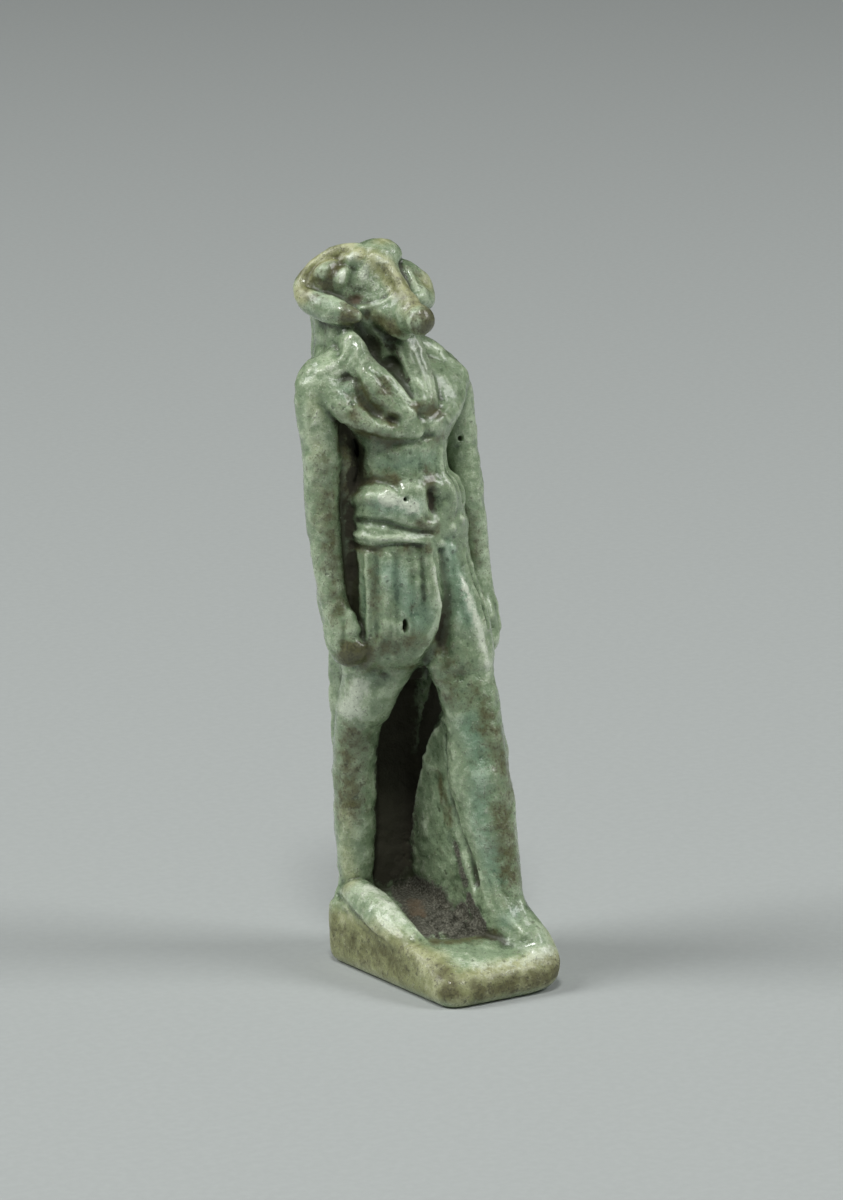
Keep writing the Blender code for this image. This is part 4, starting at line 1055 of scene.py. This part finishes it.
# The glaze's own colours, before the light falls on them, where it is thick, middling and thin, and
# the colours of what lies on it. The dark brown and the soil colour also paint shade, and the chalk
# colour also paints highlights and glints
GREEN = (0.104, 0.156, 0.082), (0.258, 0.348, 0.206), (0.485, 0.590, 0.395)
TURQUOISE = (0.085, 0.156, 0.102), (0.215, 0.338, 0.224), (0.418, 0.565, 0.420)
OLIVE = (0.130, 0.135, 0.050), (0.310, 0.330, 0.150), (0.520, 0.540, 0.310)
CHALK_AND_HIGHLIGHT = (0.800, 0.870, 0.700)
BROWN = (0.102, 0.094, 0.033)
DARK_BROWN = (0.036, 0.036, 0.018)
SOIL_AND_SHADE = (0.045, 0.042, 0.026)
DIRT = (0.060, 0.058, 0.040)
GRIT = (0.190, 0.190, 0.145)
RUST = (0.140, 0.095, 0.052)

# The clear coat's roughness, and the height of the finest bumps in metres
COAT_ROUGHNESS = 0.1
BUMP_DISTANCE = 0.00016


def faience():
    """Worn green glaze: cloudy colour, brown mottling, chalky ridges, dark pits and soil in the hollows, with
    painted shade in creases, hollows and the deepest gaps and painted highlights and glints on the ridges.
    """
    material, shader, start = new_material("faience")
    broad = noise(start, 3.2, 2.0)
    cloud = noise(start, 1.1, 4.0, 0.6)
    fine = noise(start, 0.35, 4.0, 0.6)
    grain = noise(start, 0.12, 3.0, 0.6)
    spark = noise(start, 0.16, 2.0, 0.5)
    crease = attribute(start, "crease")
    hollow = attribute(start, "hollow")
    pale = attribute(start, "pale")
    brown = attribute(start, "brown")
    dirt = (attribute(start, "dirt") + fine * 0.7 + grain * 0.4).step(1.05, 1.35)
    patch = noise(start, 0.5, 3.0, 0.55)
    # Lighter where the glaze is thin and under the pale marks; darker in creases and hollows, which paints
    # shade there.
    thin_glaze_and_shade = (2.08 - crease * 2.7 - hollow * 0.6 + pale * 0.35 - brown * 0.1
            + (cloud - 0.5) * 1.2 + (fine - 0.5) * 1.2 + (grain - 0.5) * 0.6 + (broad - 0.5) * 0.5)
    colour, turquoise, olive = (thin_glaze_and_shade.step(0.45, 0.9).blend(thin_glaze_and_shade.step(0.0, 0.45).blend(thick, middle), light)
                                for thick, middle, light in (GREEN, TURQUOISE, OLIVE))
    colour = (attribute(start, "turquoise") + cloud * 0.8).step(0.6, 1.5).blend(colour, turquoise)
    colour = (attribute(start, "olive") + cloud * 0.8).step(0.6, 1.4).blend(colour, olive)
    # Brown mottling, which also carries the painted shade of the brown marks.
    mottle_and_shade = (brown * 0.5 + patch * 0.9 + fine * 0.5 + grain * 0.2).step(0.82, 1.35)
    colour = (mottle_and_shade * 0.9).blend(colour, BROWN)
    # Chalky wear on ridges and pale marks, which also paints highlights there.
    chalk_and_highlight = (thin_glaze_and_shade + pale * 0.2 - mottle_and_shade * 0.6).step(0.95, 1.35)
    worn = (attribute(start, "olive") + cloud * 0.4).step(0.6, 1.3)
    colour = (chalk_and_highlight * (1 - worn * 0.5) * 0.85).blend(colour, CHALK_AND_HIGHLIGHT)
    # Dark brown in creases and hollows: partly silt in the crevices, partly painted shade.
    silt_and_shade = (crease * 0.9 + hollow * 0.9 + fine * 0.25 + grain * 0.2).step(1.16, 1.4)
    colour = (silt_and_shade * 0.85).blend(colour, DARK_BROWN)
    specks = (cells(start, 0.8) + fine * 0.5).step(0.42, 0.3) * cloud.step(0.42, 0.6)
    dust = (grain + fine * 0.4 + brown * 0.08).step(0.77, 0.9)
    colour = (dust * 0.5 + specks * 0.5).blend(colour, DARK_BROWN)
    # Painted highlights: small white glints of the chalk colour.
    glint = (spark + pale * 0.12 - crease * 0.3 + fine * 0.2).step(0.62, 0.7)
    colour = (glint * (1 - mottle_and_shade) * 0.35).blend(colour, CHALK_AND_HIGHLIGHT)
    # Painted shade: near-black colour in the deepest gaps, with some real soil between the legs.
    soil_and_shade = (attribute(start, "soil_and_shade") + fine * 0.8).step(0.85, 1.15)
    colour = soil_and_shade.blend(colour, SOIL_AND_SHADE)
    grit = (grain + fine * 0.3).step(0.55, 0.85).blend(DIRT, GRIT)
    colour = dirt.blend(colour, grit)
    colour = ((attribute(start, "rust") + fine * 0.8).step(0.9, 1.5) * 0.7).blend(colour, RUST)
    earth = (dirt + soil_and_shade).step(0.0, 0.8)
    roughness = 0.2 + fine * 0.08 + earth * 0.55 + silt_and_shade * 0.25 + mottle_and_shade * 0.15 + worn * 0.22
    coat = (1 - earth) * (1 - worn * 0.6) * (1 - silt_and_shade) * 0.5
    start.tree.links.new(colour.output, shader.inputs["Base Color"])
    start.tree.links.new(roughness.output, shader.inputs["Roughness"])
    start.tree.links.new(coat.output, shader.inputs["Coat Weight"])
    height = (cloud * 0.3 + fine * 0.4 + grain * 0.2 - specks * 0.2 - mottle_and_shade * 0.06 + chalk_and_highlight * 0.08
              + glint * 0.05 + dirt * grain * 0.6)
    bump = start.make("ShaderNodeBump", None, {"Strength": 1.0, "Distance": BUMP_DISTANCE, "Height": height},
                      "Normal")
    start.tree.links.new(bump.output, shader.inputs["Normal"])
    shader.inputs["Coat Roughness"].default_value = COAT_ROUGHNESS
    return material


# The floor and the lights, in metres and watts. A light is its name, its degrees round from the
# front and up, its distance, its width and height, and its power
FLOOR_REACH = 3.0
PAPER = (0.415, 0.442, 0.430), (0.435, 0.464, 0.451)
LIGHT_TARGET = (0, 0, 0.02)
LIGHTS = (("front", -38, 62, 0.8, (0.14, 0.14), 2.53), ("left", -117, 43, 0.8, (0.35, 0.5), 4.1),
          ("right", 51, 40, 0.8, (0.3, 0.4), 2.92))
GLOW_COLOUR = (0.93, 0.97, 1.0, 1.0)
GLOW_STRENGTH = 0.03


def pale_paper():
    """The plain pale paper that the amulet stands on."""
    material, shader, start = new_material("pale paper")
    fibre = noise(start, 0.5, 3.0, 0.6)
    colour = fibre.step(0.3, 0.75).blend(*PAPER)
    start.tree.links.new(colour.output, shader.inputs["Base Color"])
    shader.inputs["Roughness"].default_value = 0.95
    return material


def add_stage():
    """A plain pale floor."""
    mesh = bpy.data.meshes.new("floor")
    corners = ((-1, -1), (1, -1), (1, 1), (-1, 1))
    mesh.from_pydata([(x * FLOOR_REACH, y * FLOOR_REACH, 0) for x, y in corners], [], [(0, 1, 2, 3)])
    floor = bpy.data.objects.new("floor", mesh)
    mesh.materials.append(pale_paper())
    bpy.context.scene.collection.objects.link(floor)


def add_light(name, azimuth, elevation, distance, size, power):
    """A soft light that looks at the amulet from a direction, in degrees from the front."""
    back = direction(azimuth, elevation)
    light = bpy.data.lights.new(name, "AREA")
    light.shape = "RECTANGLE"
    light.size, light.size_y = size
    light.energy = power
    lamp = bpy.data.objects.new(name, light)
    lamp.location = Vector(LIGHT_TARGET) + back * distance
    lamp.rotation_euler = back.to_track_quat("Z", "Y").to_euler()
    bpy.context.scene.collection.objects.link(lamp)


def add_lights():
    """A small soft light in front and above, a large one at each side, and a faint glow all round."""
    scene = bpy.context.scene
    scene.view_settings.view_transform = "Standard"
    world = bpy.data.worlds.new("studio")
    world.use_nodes = True
    world.node_tree.nodes["Background"].inputs["Color"].default_value = GLOW_COLOUR
    world.node_tree.nodes["Background"].inputs["Strength"].default_value = GLOW_STRENGTH
    scene.world = world
    for light in LIGHTS:
        add_light(*light)


build_amulet()
add_camera()
add_stage()
add_lights()
